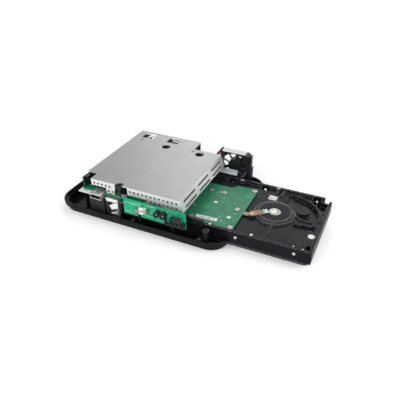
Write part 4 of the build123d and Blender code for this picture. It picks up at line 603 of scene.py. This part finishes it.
def motor_rims():
    """Rolled rims of the motor's tiers with thin light rings as painted highlights, and the raised face of
    its shaft cap with a painted crescent of shade.
    """
    hub = on_drive(HUB.x, HUB.y)
    mesh = bmesh.new()
    # Finish 0 rings are thin light lines on the upper edges: painted highlights; finish 1 rings are the dark
    # rolled edges.
    for radius, z, thick, finish in ((17.25, 0.14, 0.15, 0), (17.2, -0.15, 0.40, 1), (18.8, -0.20, 0.15, 0),
                                     (18.9, -0.62, 0.45, 1), (21.2, -0.92, 0.17, 0), (21.2, -1.40, 0.45, 1)):
        circle = [(radius + thick * math.cos(math.radians(a)), z + thick * math.sin(math.radians(a)))
                  for a in range(0, 360, 45)]
        spun(mesh, circle, hub, steps=96, finish=finish)
    rim = moulded("rim_painted_highlight", (0.30, 0.31, 0.33), 0.3, 0.5, 0.0005, spread=0.1, edge_mm=0.01)
    roll = moulded("rim_roll", (0.012, 0.012, 0.014), 0.2, 0.5, 0.0005, edge_mm=0.01, level=0.16)
    keep(mesh, "motor_rims", "drive", [rim, roll])
    cap = bmesh.new()
    z = high_of("shaft_cap").z - DRIVE.z
    profile = ((0.0, z + 0.03), (4.2, z + 0.03), (4.5, z + 0.10), (4.7, z + 0.62), (5.7, z + 0.70),
               (6.3, z + 0.30), (6.35, z - 0.05), (0.0, z - 0.05))
    spun(cap, profile, hub, steps=64, closed=False)
    # The cap's inner face is painted shadow, and the lighter disc set off its middle leaves a painted
    # crescent of shade.
    for face in cap.faces:
        face.material_index = int((face.calc_center_median() - hub).xy.length < 4.4)
    drum(cap, on_drive(HUB.x - 0.75, HUB.y + 0.55, z), 3.7, 0.12, sides=40)
    bright = turned("cap_bright", (0.42, 0.41, 0.39), 0.3, 0.7)
    shadow = turned("cap_shadow", (0.07, 0.07, 0.07), 0.35, 0.6)
    keep(cap, "shaft_cap_face", "drive", [bright, shadow])


def flex_end(tin):
    """The flat cable's end over the motor: solder lands, copper runs and a stiffener."""
    mesh = bmesh.new()
    z = high_of("motor_flex").z - DRIVE.z

    def patch(x, y, length, breadth, thick, finish, turn=36.0):
        low = on_drive(x - length / 2, y - breadth / 2, z)
        high = on_drive(x + length / 2, y + breadth / 2, z + thick)
        brick(mesh, low, high, 0.04, turn, finish)

    patch(86.0, 47.7, 6.2, 8.4, 0.10, 4)
    patch(86.2, 47.9, 5.0, 6.8, 0.16, 0)
    for across in (-2.4, -0.8, 0.8, 2.4):
        patch(86.9 - across * 0.59, 48.4 + across * 0.81, 2.4, 0.9, 0.26, 1)
        patch(84.6 - across * 0.59, 46.7 + across * 0.81, 1.2, 0.8, 0.24, 1)
    patch(80.7, 43.4, 6.6, 8.0, 0.12, 2)
    patch(80.7, 43.4, 4.2, 5.6, 0.20, 2)
    patch(74.1, 37.9, 3.6, 4.2, 0.12, 3, 25.0)
    green = solder_mask("flex_green", (0.02, 0.22, 0.11))
    brown = sleeve("flex_brown", (0.12, 0.055, 0.04), 0.3)
    dark = moulded("flex_dark", (0.006, 0.008, 0.007), 0.35, 0.3)
    amber = sleeve("flex_amber_patch", (0.50, 0.30, 0.07), 0.3)
    keep(mesh, "flex_end", "drive", [green, tin, brown, amber, dark])


def sticker_bars():
    """Plain bars and cells on the stickers, with no words."""
    mesh = bmesh.new()
    z = DRIVE_BOARD_Z + STICKER_THICKNESS
    dice = random.Random(3)
    x = -9.4
    while x < 9.2:
        wide = dice.choice((0.25, 0.4, 0.6))
        y = 12.6 + x * 0.052
        brick(mesh, on_drive(32.9 + x, y - 0.9, z), on_drive(32.9 + x + wide, y + 1.0, z + 0.02))
        x += wide + dice.choice((0.25, 0.4, 0.5))
    top = CASTING_DECK_Z + STICKER_THICKNESS
    for row in range(5):
        for column in range(6):
            if dice.random() < 0.55:
                at_x = HUB.x - 14.1 + column * 1.15
                at_y = HUB.y + 26.3 + row * 1.3
                brick(mesh, on_drive(at_x, at_y, top), on_drive(at_x + 0.95, at_y + 0.8, top + 0.02))
    ink = moulded("sticker_ink", (0.05, 0.05, 0.055), 0.6, 0.3)
    keep(mesh, "sticker_bars", "drive", [ink])


def casting_marks(tin):
    """Small machined spots, a pin and rail notches on the casting."""
    mesh = bmesh.new()
    cup = ((0.0, -0.2), (0.7, -0.2), (0.8, 0.12), (1.15, 0.12), (1.2, -0.02), (0.0, -0.3))
    spun(mesh, cup, on_drive(72.0, 90.6, -0.1))
    for x, y in ((83.5, 99.6), (110.0, DRIVE_WIDTH - 1.4), (127.0, DRIVE_WIDTH - 1.4)):
        drum(mesh, on_drive(x, y), 0.45, 0.10, sides=12)
    for x, y, z in ((128.2, 3.0, -0.02), (137.5, 2.4, -0.02), (84.9, 6.6, -3.0)):
        drum(mesh, on_drive(x, y, z), 0.6, 0.12, sides=14)
    keep(mesh, "casting_marks", "drive", [tin])


def casting_ribs(colour):
    """Raised knob, ribs, pocket lip, rounded arc and ground strip on the casting's face."""
    mesh = bmesh.new()
    deck = CASTING_DECK_Z - 0.05

    def bar(start, end, width, top, soften=0.25, finish=0):
        start, end = Vector(start), Vector(end)
        centre, run = (start + end) / 2, end - start
        half = Vector((run.length / 2, width / 2))
        brick(mesh, on_drive(*(centre - half), deck), on_drive(*(centre + half), top), soften,
              math.degrees(math.atan2(run.y, run.x)), finish)

    knob = ((0.0, -1.3), (4.5, -1.3), (5.0, -1.6), (5.3, -2.4), (6.6, -2.6), (6.8, deck), (0.0, deck))
    spun(mesh, knob, on_drive(121.3, 67.2), steps=40, closed=False)
    for start, end in (((112.2, 63.7), (117.0, 55.3)), ((117.0, 55.3), (122.1, 50.8)),
                       ((122.1, 50.8), (141.2, 51.2)), ((96.0, 90.0), (97.6, 74.0)),
                       ((99.0, 90.0), (100.4, 74.5))):
        bar(start, end, 1.5, -1.9)
    corners = ((117.3, 41.8), (140.0, 47.4), (142.0, 38.6), (116.8, 33.7))
    for start, end in zip(corners, corners[1:] + corners[:1]):
        bar(start, end, 0.9, -2.55, 0.2)
    bar((96.4, 25.0), (97.5, 6.2), 2.5, -2.9, 0.1, 1)     # the next spins repaint all but its bevels
    for x, y in ((122.8, 17.5), (132.0, 12.7)):
        spun(mesh, ((0.5, -2.8), (1.0, -2.8), (1.2, deck), (0.4, deck)), on_drive(x, y), steps=18)
    arc_x, arc_y, arc_radius = 102.4, 54.2, 39.2
    tube = [mesh.verts.new(on_drive(arc_x + arc_radius + 1.25 * math.cos(math.radians(a)), arc_y,
                                    -2.3 + 1.25 * math.sin(math.radians(a)))) for a in range(0, 360, 45)]
    edges = [mesh.edges.new(pair) for pair in zip(tube, tube[1:] + tube[:1])]
    bmesh.ops.spin(mesh, geom=tube + edges, cent=on_drive(arc_x, arc_y), axis=(0, 0, 1),
                   angle=math.radians(84), steps=40)
    bmesh.ops.holes_fill(mesh, edges=[edge for edge in mesh.edges if edge.is_boundary])
    paint = painted_casting("rib_paint", colour, 0.32, 0.4)
    strip = rolled("ground_strip", (0.085, 0.088, 0.095), 0.4, metallic=0.3)
    keep(mesh, "casting_ribs", "drive", [paint, strip])


class PLAYER_OT_front_details(bpy.types.Operator):
    """Add the small parts of the front and side boards, socket, card cage, board edge and shield"""
    bl_idname = "player.front_details"
    bl_label = "Front details"

    def execute(self, context):
        tin = turned("front_tin", (0.72, 0.72, 0.71), 0.25, 0.6)
        chip = moulded("front_part_black", (0.02, 0.02, 0.021), 0.45, 0.2)
        gold = turned("spring_gold", (0.66, 0.46, 0.20), 0.3, 0.7)
        front_board_parts(tin, chip, gold)
        front_board_print()
        receiver_clip(tin)
        usb_springs(tin, gold)
        cage_painted_reflections()
        board_edge_parts(tin, chip, gold)
        window_springs(tin)
        shield_shade_sheets()
        side_board_parts(tin, chip, gold)
        return {"FINISHED"}


def front_board_parts(tin, chip, gold):
    """Chip resistors and solder joints on the front board's face."""
    mesh = bmesh.new()
    low = low_of("front_board")
    face = low.y
    dice = random.Random(8)
    for x, z, wide, tall, finish in (
            (31.0, 14.8, 1.4, 0.8, 1), (31.8, 12.6, 1.4, 0.8, 1), (29.8, 6.4, 0.8, 1.4, 2),
            (32.2, 6.0, 0.8, 1.4, 1), (38.6, 4.4, 1.4, 0.8, 1), (46.5, 4.6, 1.4, 0.8, 1),
            (52.4, 15.2, 1.2, 0.7, 2), (66.5, 15.8, 1.6, 0.9, 1), (69.8, 12.8, 0.8, 1.6, 1),
            (10.5, 4.6, 1.4, 0.8, 1), (18.6, 4.2, 1.0, 0.6, 2), (28.8, 4.4, 1.4, 0.8, 2)):
        brick(mesh, (low.x + x, face - 0.6, low.z + z), (low.x + x + wide, face, low.z + z + tall), 0.08,
              finish=finish)
    for i in range(26):
        x, z = dice.uniform(3, 71), dice.uniform(2.0, 17.0)
        drum(mesh, (low.x + x, face, low.z + z), 0.28, -0.08, "Y", sides=8)
    for x in (30.0, 31.6, 33.2, 34.8, 36.4, 38.0):
        drum(mesh, (low.x + x, face, low.z + 16.6), 0.45, -0.25, "Y", top=0.2, sides=10)
    keep(mesh, "front_board_parts", "chassis", [tin, chip, gold])


def front_board_print():
    """Plain white dashes and outlines where a board is marked; no letters."""
    mesh = bmesh.new()
    low = low_of("front_board")
    face = low.y
    dice = random.Random(21)

    def dash(x, z, wide, tall):
        brick(mesh, (low.x + x, face - 0.03, low.z + z), (low.x + x + wide, face, low.z + z + tall))

    for x, end, z, widest, tall, gap in ((1.8, 20.0, 14.2, 1.0, 0.9, 0.28), (1.2, 12.0, 3.2, 0.9, 0.7, 0.3)):
        while x < end:
            wide = dice.uniform(0.5, widest)
            dash(x, z, wide, tall)
            x += wide + gap
    line = 0.12
    for x0, z0, x1, z1 in ((19.8, 3.8, 32.0, 17.4), (28.4, 4.0, 36.6, 8.2)):
        for z in (z0, z1):
            dash(x0, z, x1 - x0, line)
        for x in (x0, x1):
            dash(x, z0, line, z1 - z0)
    for x in (32.6, 34.2, 35.8):
        dash(x, 16.6, 1.0, 0.6)
    white = sleeve("print_white", (0.42, 0.62, 0.50), 0.5)
    keep(mesh, "front_board_print", "chassis", [white])


def receiver_clip(tin):
    """Bent tin shell round the receiver, its dark eye, and the grey bar beside it."""
    low, high = low_of("ir_receiver"), high_of("ir_receiver")
    mesh = bmesh.new()
    y = low.y
    brick(mesh, (low.x - 1.5, y - 0.35, low.z - 0.9), (low.x - 0.1, y + 2.3, high.z + 1.0), 0.15)
    brick(mesh, (low.x - 1.5, y - 0.35, high.z + 0.1), (low.x + 4.2, y + 0.4, high.z + 1.0), 0.15)
    brick(mesh, (low.x - 0.4, y - 0.35, low.z - 0.9), (low.x + 2.6, y + 0.1, low.z - 0.1), 0.12)
    eye = (low.x + 1.9, y, low.z + 3.4)
    spun(mesh, ((1.05, -0.35), (1.75, -0.35), (1.75, 0.02), (1.05, 0.02)), eye, "Y")
    drum(mesh, eye, 1.05, -0.08, "Y", finish=1)
    brick(mesh, (low.x + 4.0, y - 0.9, low.z + 0.2), (high.x + 0.2, y + 0.3, high.z - 0.2), 0.55, finish=2)
    dark = moulded("eye_black", (0.008, 0.008, 0.008), 0.3, 0.3)
    grey = moulded("bar_grey", (0.30, 0.33, 0.32), 0.35, 0.3, spread=0.1)
    keep(mesh, "receiver_clip", "chassis", [tin, dark, grey])


def usb_springs(tin, gold):
    """Contact springs in the socket's top windows, and the rolled lip of its mouth."""
    low, high = low_of("usb_shell"), high_of("usb_shell")
    mesh = bmesh.new()
    middle = (low.x + high.x) / 2
    for x in (middle - 3.6, middle + 3.6):
        brick(mesh, (x - 1.7, low.y + 2.2, high.z - 0.1), (x + 1.7, low.y + 10.2, high.z + 0.03), finish=2)
        brick(mesh, (x - 1.1, low.y + 2.8, high.z - 0.12), (x + 1.1, low.y + 9.6, high.z + 0.16), 0.1,
              finish=1)
        brick(mesh, (x - 0.75, low.y + 3.4, high.z), (x + 0.75, low.y + 8.6, high.z + 0.45), 0.2)
    for x in (middle - 6.2, middle + 4.9):
        brick(mesh, (x, low.y + 1.0, high.z - 0.05), (x + 1.3, low.y + 11.0, high.z + 0.14), 0.06)
    brick(mesh, (low.x - 0.15, low.y - 0.25, high.z - 0.45), (high.x + 0.15, low.y + 0.5, high.z + 0.16),
          0.12)
    brick(mesh, (low.x - 0.15, low.y - 0.25, low.z - 0.1), (high.x + 0.15, low.y + 0.4, low.z + 0.35), 0.1)
    for i in range(4):
        x = middle - 3.3 + 2.1 * i
        brick(mesh, (x - 0.35, low.y + 1.0, low.z + 2.5), (x + 0.35, low.y + 7.0, low.z + 2.7), 0.04,
              finish=1)
    # A dark plate across the socket's mouth: painted shade for its inside.
    brick(mesh, (low.x + 0.8, low.y - 0.04, low.z + 0.7), (high.x - 0.8, low.y + 0.3, low.z + 3.6), finish=2)
    dark = moulded("socket_painted_shade", (0.006, 0.006, 0.006), 0.5, 0.3, level=0.05)
    keep(mesh, "usb_springs", "chassis", [tin, gold, dark])


def cage_painted_reflections():
    """Bright panels inside the card cage's front as painted reflections of its shiny bent sheet, and dark
    strips at its left and bottom edges.
    """
    low, high = low_of("card_cage"), high_of("card_cage")
    left, right, front, top = low.x, high.x, low.y, high.z
    mesh = bmesh.new()
    # The bright panels are painted reflections of the cage's shiny sheet.
    brick(mesh, (left + 0.8, high.y - 1.3, top - 15.0), (right - 0.8, high.y - 0.8, top - 0.8), 0.1)
    brick(mesh, (left - 0.1, front - 0.2, top - 0.9), (right + 0.1, front + 0.5, top + 0.05), 0.12)
    brick(mesh, (left - 0.1, front - 0.2, top - 19.0), (left + 0.9, front + 0.5, top - 4.0), 0.12, finish=1)
    brick(mesh, (left - 0.1, front - 0.2, top - 19.6), (left + 5.4, front + 0.4, top - 17.8), 0.12, finish=1)
    panel(mesh, ((left + 6.2, top - 14.6), (right - 1.0, top - 10.4), (right - 1.0, top - 3.4),
                 (left + 3.4, top - 9.2)), front + 0.5, front + 0.9)
    panel(mesh, ((left + 1.0, top - 4.2), (right - 1.0, top - 2.8), (right - 1.0, top - 0.8),
                 (left + 1.0, top - 0.8)), front + 0.4, front + 0.8)
    panel(mesh, ((left + 5.6, top - 19.4), (right - 2.6, top - 17.4), (right - 2.6, top - 15.0),
                 (left + 5.6, top - 17.4)), front + 0.4, front + 0.8)
    bright = turned("cage_painted_reflection", (0.86, 0.86, 0.86), 0.3, 0.5)
    dark = moulded("liner_dark", (0.01, 0.01, 0.01), 0.4, 0.3)
    keep(mesh, "cage_painted_reflections", "chassis", [bright, dark])


def board_edge_parts(tin, chip, gold):
    """Parts along the main board's front edge: chip parts, a pin row, black blocks and amber film."""
    mesh = bmesh.new()
    front, top = low_of("main_board").y, high_of("main_board").z
    left, right = low_of("main_board").x, high_of("main_board").x
    socket_middle = low_of("usb_shell").x + 6.75
    dice = random.Random(14)
    for i in range(34):
        x = left + 30.0 + i * 2.65
        if x > right - 3 or abs(x - socket_middle) < 8.5:
            continue
        finish = dice.choice((0, 1, 2, 1))
        brick(mesh, (x, front + 0.35, top), (x + 1.4, front + 1.15, top + 0.5), 0.06, finish=finish)
    stop = (low_of("rubber_stop") + high_of("rubber_stop")) / 2
    brick(mesh, (stop.x - 3.4, stop.y + 0.9, top), (stop.x + 9.8, stop.y + 4.6, top + 6.6), 0.2, finish=1)
    brick(mesh, (stop.x + 2.0, stop.y - 1.2, top), (stop.x + 9.4, stop.y + 0.7, top + 3.4), 0.2, finish=1)
    for i in range(6):
        x = stop.x + 2.5 + i * 1.15
        brick(mesh, (x, stop.y - 1.7, top), (x + 0.5, stop.y - 1.15, top + 1.5), 0.05)
    for i in range(3):
        x = stop.x + 2.8 + i * 2.2
        brick(mesh, (x, stop.y - 1.25, top + 2.0), (x + 1.2, stop.y - 1.15, top + 2.6), finish=3)
    for i in range(8):
        x = -33.0 + i * 5.4
        brick(mesh, (x, front + 0.1, top), (x + 2.2, front + 5.0, top + 0.5), 0.1, finish=4)
    white = moulded("connector_white", (0.66, 0.68, 0.66), 0.4, 0.3, spread=0.06)
    amber = sleeve("amber_film", (0.55, 0.22, 0.03), 0.25)
    keep(mesh, "board_edge_parts", "chassis", [tin, chip, gold, white, amber])


def window_springs(tin):
    """Bright grounding springs in the shield's two square windows, over dark plates that are painted shade
    for the inside.
    """
    left, back, top = low_of("shield_cover").x, high_of("shield_cover").y, high_of("shield_cover").z
    mesh = bmesh.new()
    first_window, second_window = left + 8.8, left + 44.0
    y0 = back - 17.3
    # Dark plates under the windows: painted shade inside the shield.
    for x0 in (first_window, second_window):
        brick(mesh, (x0 - 5.5, y0 - 1.0, top - 3.9), (x0 + 16.2, y0 + 16.7, top - 3.6), finish=1)
    for x0, start, end, finish in (
            (first_window, (7.2, 6.2, -2.6), (15.4, 8.0, -1.2), 0),
            (first_window, (7.2, 10.2, -2.6), (15.4, 12.2, -1.2), 0),
            (first_window, (12.6, 1.0, -2.6), (14.8, 12.6, -1.6), 0),
            (first_window, (5.8, 2.6, -3.0), (7.4, 12.4, -2.0), 0),
            (second_window, (9.4, 1.2, -3.0), (14.8, 3.4, -2.4), 0),
            (second_window, (13.0, 10.4, -2.2), (15.2, 12.6, -1.4), 2)):
        corner = Vector((x0, y0, top))
        brick(mesh, corner + Vector(start), corner + Vector(end), 0.2, finish=finish)
    right = high_of("shield_cover").x - 4.6
    # Four more dark plates under the shield's top: painted shade.
    for x, y, half, drop in ((left + 13.0, back - 23.0, 3.5, 1.3), (right - 34.5, back - 25.8, 3.5, 1.3),
                             (left + 50.5, back - 28.9, 8.0, 4.0), (right - 23.6, back - 30.1, 8.0, 4.0)):
        brick(mesh, (x - half, y - half, top - drop - 0.2), (x + half, y + half, top - drop), finish=1)
    dark = moulded("window_painted_shade", (0.008, 0.008, 0.008), 0.5, 0.3)
    amber = sleeve("window_amber", (0.45, 0.16, 0.04), 0.3)
    keep(mesh, "window_springs", "chassis", [tin, dark, amber])


def shield_shade_sheets():
    """Black sheets inside the shield's front flange and on its step: painted shade for the dark inside."""
    low, high = low_of("shield_cover"), high_of("shield_cover")
    mesh = bmesh.new()
    # Dark sheets behind the flange's holes and on the step's wall: painted shade.
    brick(mesh, (low.x + 1.5, low.y + 0.9, high.z - 9.0), (low.x + 30.0, low.y + 1.0, high.z - 1.0))
    brick(mesh, (low.x + 44.0, low.y + 0.9, high.z - 9.0), (high.x - 6.5, low.y + 1.0, high.z - 1.0))
    brick(mesh, (low.x + 84.0, high.y - 19.6, high.z - 11.6), (low.x + 84.12, high.y - 1.6, high.z - 1.2))
    shade_sheet = moulded("shade_sheet_black", (0.004, 0.004, 0.004), 0.6, 0.3, level=0.02)
    keep(mesh, "shield_shade_sheets", "chassis", [shade_sheet])


def side_board_parts(tin, chip, gold):
    """Pins, chip legs and small parts on the upright side board."""
    low, high = low_of("side_board"), high_of("side_board")
    mesh = bmesh.new()
    face = high.x
    dice = random.Random(4)
    for i in range(6):
        y = low.y + 4.6 + i * 1.15
        brick(mesh, (face, y, low.z + 3.9), (face + 0.5, y + 0.5, low.z + 4.7), 0.04)
        brick(mesh, (face, y, low.z + 10.5), (face + 0.5, y + 0.5, low.z + 11.3), 0.04)
    for i in range(14):
        y, z = low.y + dice.uniform(13, 34), low.z + dice.uniform(4.0, 11.0)
        brick(mesh, (face, y, z), (face + 0.5, y + 1.2, z + 0.7), 0.05, finish=dice.choice((0, 1, 2)))
    brick(mesh, (low.x + 0.3, low.y - 1.0, high.z - 0.2), (face - 0.2, low.y + 5.6, high.z + 0.5), 0.15,
          finish=1)
    for i in range(5):
        y = low.y + 6 + i * 5.2
        brick(mesh, (low.x - 0.1, y, low.z + 2.2), (low.x + 0.2, y + 2.4, low.z + 4.0), 0.05, finish=1)
    keep(mesh, "side_board_parts", "chassis", [tin, chip, gold])


class PLAYER_OT_stage(bpy.types.Operator):
    """Lay the pale floor and set the camera, lamps and room"""
    bl_idname = "player.stage"
    bl_label = "Studio"

    def execute(self, context):
        scene = context.scene
        studio = scene.studio_settings
        bpy.ops.mesh.primitive_plane_add(size=8.0)
        floor = context.object
        floor.name = "studio_floor"
        floor.data.materials.append(pale_floor())

        camera_data = bpy.data.cameras.new("photo_camera")
        camera_data.lens = CAMERA_LENS
        camera_data.sensor_width = 36.0
        camera = bpy.data.objects.new("photo_camera", camera_data)
        scene.collection.objects.link(camera)
        camera.location = (DRIVE + Vector(CAMERA_FROM_DRIVE)) * MM
        camera.rotation_euler = (math.radians(90 - CAMERA_PITCH), 0, math.radians(CAMERA_YAW))
        scene.camera = camera

        add_lamp("key_lamp", (-0.10, -0.95, 0.45), (0.0, 0.0, 0.02), (1.5, 0.7), studio.key_power)
        add_lamp("fill_lamp", (0.85, -0.10, 0.55), (0.0, 0.0, 0.0), (0.6, 0.6), studio.fill_power)
        add_lamp("sheen_lamp", (-0.18, 1.25, 0.82), (0.0, 0.0, 0.0), (1.3, 0.9), studio.sheen_power)
        light_room(scene, studio.room_level)
        scene.view_settings.view_transform = "Standard"
        return {"FINISHED"}


def white_when_seen(nodes, links):
    """1 for what the camera, mirrors and glass see, 0 for all other light."""
    path = nodes.new("ShaderNodeLightPath")
    seen = path.outputs["Is Camera Ray"]
    for other in ("Is Glossy Ray", "Is Transmission Ray"):
        either = nodes.new("ShaderNodeMath")
        either.operation = "MAXIMUM"
        links.new(seen, either.inputs[0])
        links.new(path.outputs[other], either.inputs[1])
        seen = either.outputs["Value"]
    return seen


def pale_floor():
    """Pale floor that is white to the camera and to mirrors, and keeps the object's shadow."""
    finish = Finish("floor_pale", (0.94, 0.94, 0.94), 0.95, Specular_IOR_Level=0.0)
    tone = finish.noise(30.0, 2.0)
    finish.paint(finish.mix(finish.span(tone, 0.0, 1.0), (0.93, 0.93, 0.93), (0.95, 0.95, 0.95)))
    seen = white_when_seen(finish.nodes, finish.links)
    away = finish.nodes.new("ShaderNodeVectorMath")
    away.operation = "LENGTH"
    finish.links.new(finish.place, away.inputs[0])
    lifted = finish.span(away.outputs["Value"], *FLOOR_FADE, *FLOOR_LIFT)
    finish.shader.inputs["Emission Color"].default_value = (1, 1, 1, 1)
    finish.links.new(finish.math("MULTIPLY", seen, lifted), finish.shader.inputs["Emission Strength"])
    return finish.material


def add_lamp(name, place, target, size, power):
    """A soft rectangular lamp at place, aimed at target; in metres and watts."""
    data = bpy.data.lights.new(name, "AREA")
    data.shape = "RECTANGLE"
    data.size, data.size_y = size
    data.energy = power
    lamp = bpy.data.objects.new(name, data)
    bpy.context.scene.collection.objects.link(lamp)
    lamp.location = place
    lamp.rotation_euler = (Vector(target) - Vector(place)).to_track_quat("-Z", "Y").to_euler()


def light_room(scene, level):
    """Even room light, seen as white by the camera, mirrors and glass."""
    world = bpy.data.worlds.new("studio_room")
    scene.world = world
    world.use_nodes = True
    nodes, links = world.node_tree.nodes, world.node_tree.links
    background = nodes["Background"]
    strength = nodes.new("ShaderNodeMapRange")
    strength.inputs["To Min"].default_value = level
    strength.inputs["To Max"].default_value = 1.0
    links.new(white_when_seen(nodes, links), strength.inputs["Value"])
    links.new(strength.outputs["Result"], background.inputs["Strength"])
    background.inputs["Color"].default_value = (1, 1, 1, 1)


OPERATORS = (PLAYER_OT_case, PLAYER_OT_sheet_metal, PLAYER_OT_boards, PLAYER_OT_fan, PLAYER_OT_drive,
             PLAYER_OT_drive_details, PLAYER_OT_front_details, PLAYER_OT_stage)


class PLAYER_PT_sidebar(bpy.types.Panel):
    """Buttons for each group of pieces"""
    bl_idname = "PLAYER_PT_sidebar"
    bl_label = "Media player"
    bl_space_type = "VIEW_3D"
    bl_region_type = "UI"
    bl_category = "Media player"

    def draw(self, context):
        for operator in OPERATORS:
            self.layout.operator(operator.bl_idname)


CLASSES = (PlayerColours, StudioSettings, *OPERATORS, PLAYER_PT_sidebar)


def register():
    for one in CLASSES:
        bpy.utils.register_class(one)
    bpy.types.Scene.player_colours = bpy.props.PointerProperty(type=PlayerColours)
    bpy.types.Scene.studio_settings = bpy.props.PointerProperty(type=StudioSettings)


def unregister():
    del bpy.types.Scene.studio_settings
    del bpy.types.Scene.player_colours
    for one in reversed(CLASSES):
        bpy.utils.unregister_class(one)


def main():
    register()
    for operator in OPERATORS:
        group, name = operator.bl_idname.split(".")
        getattr(getattr(bpy.ops, group), name)()


if __name__ == "__main__":
    main()
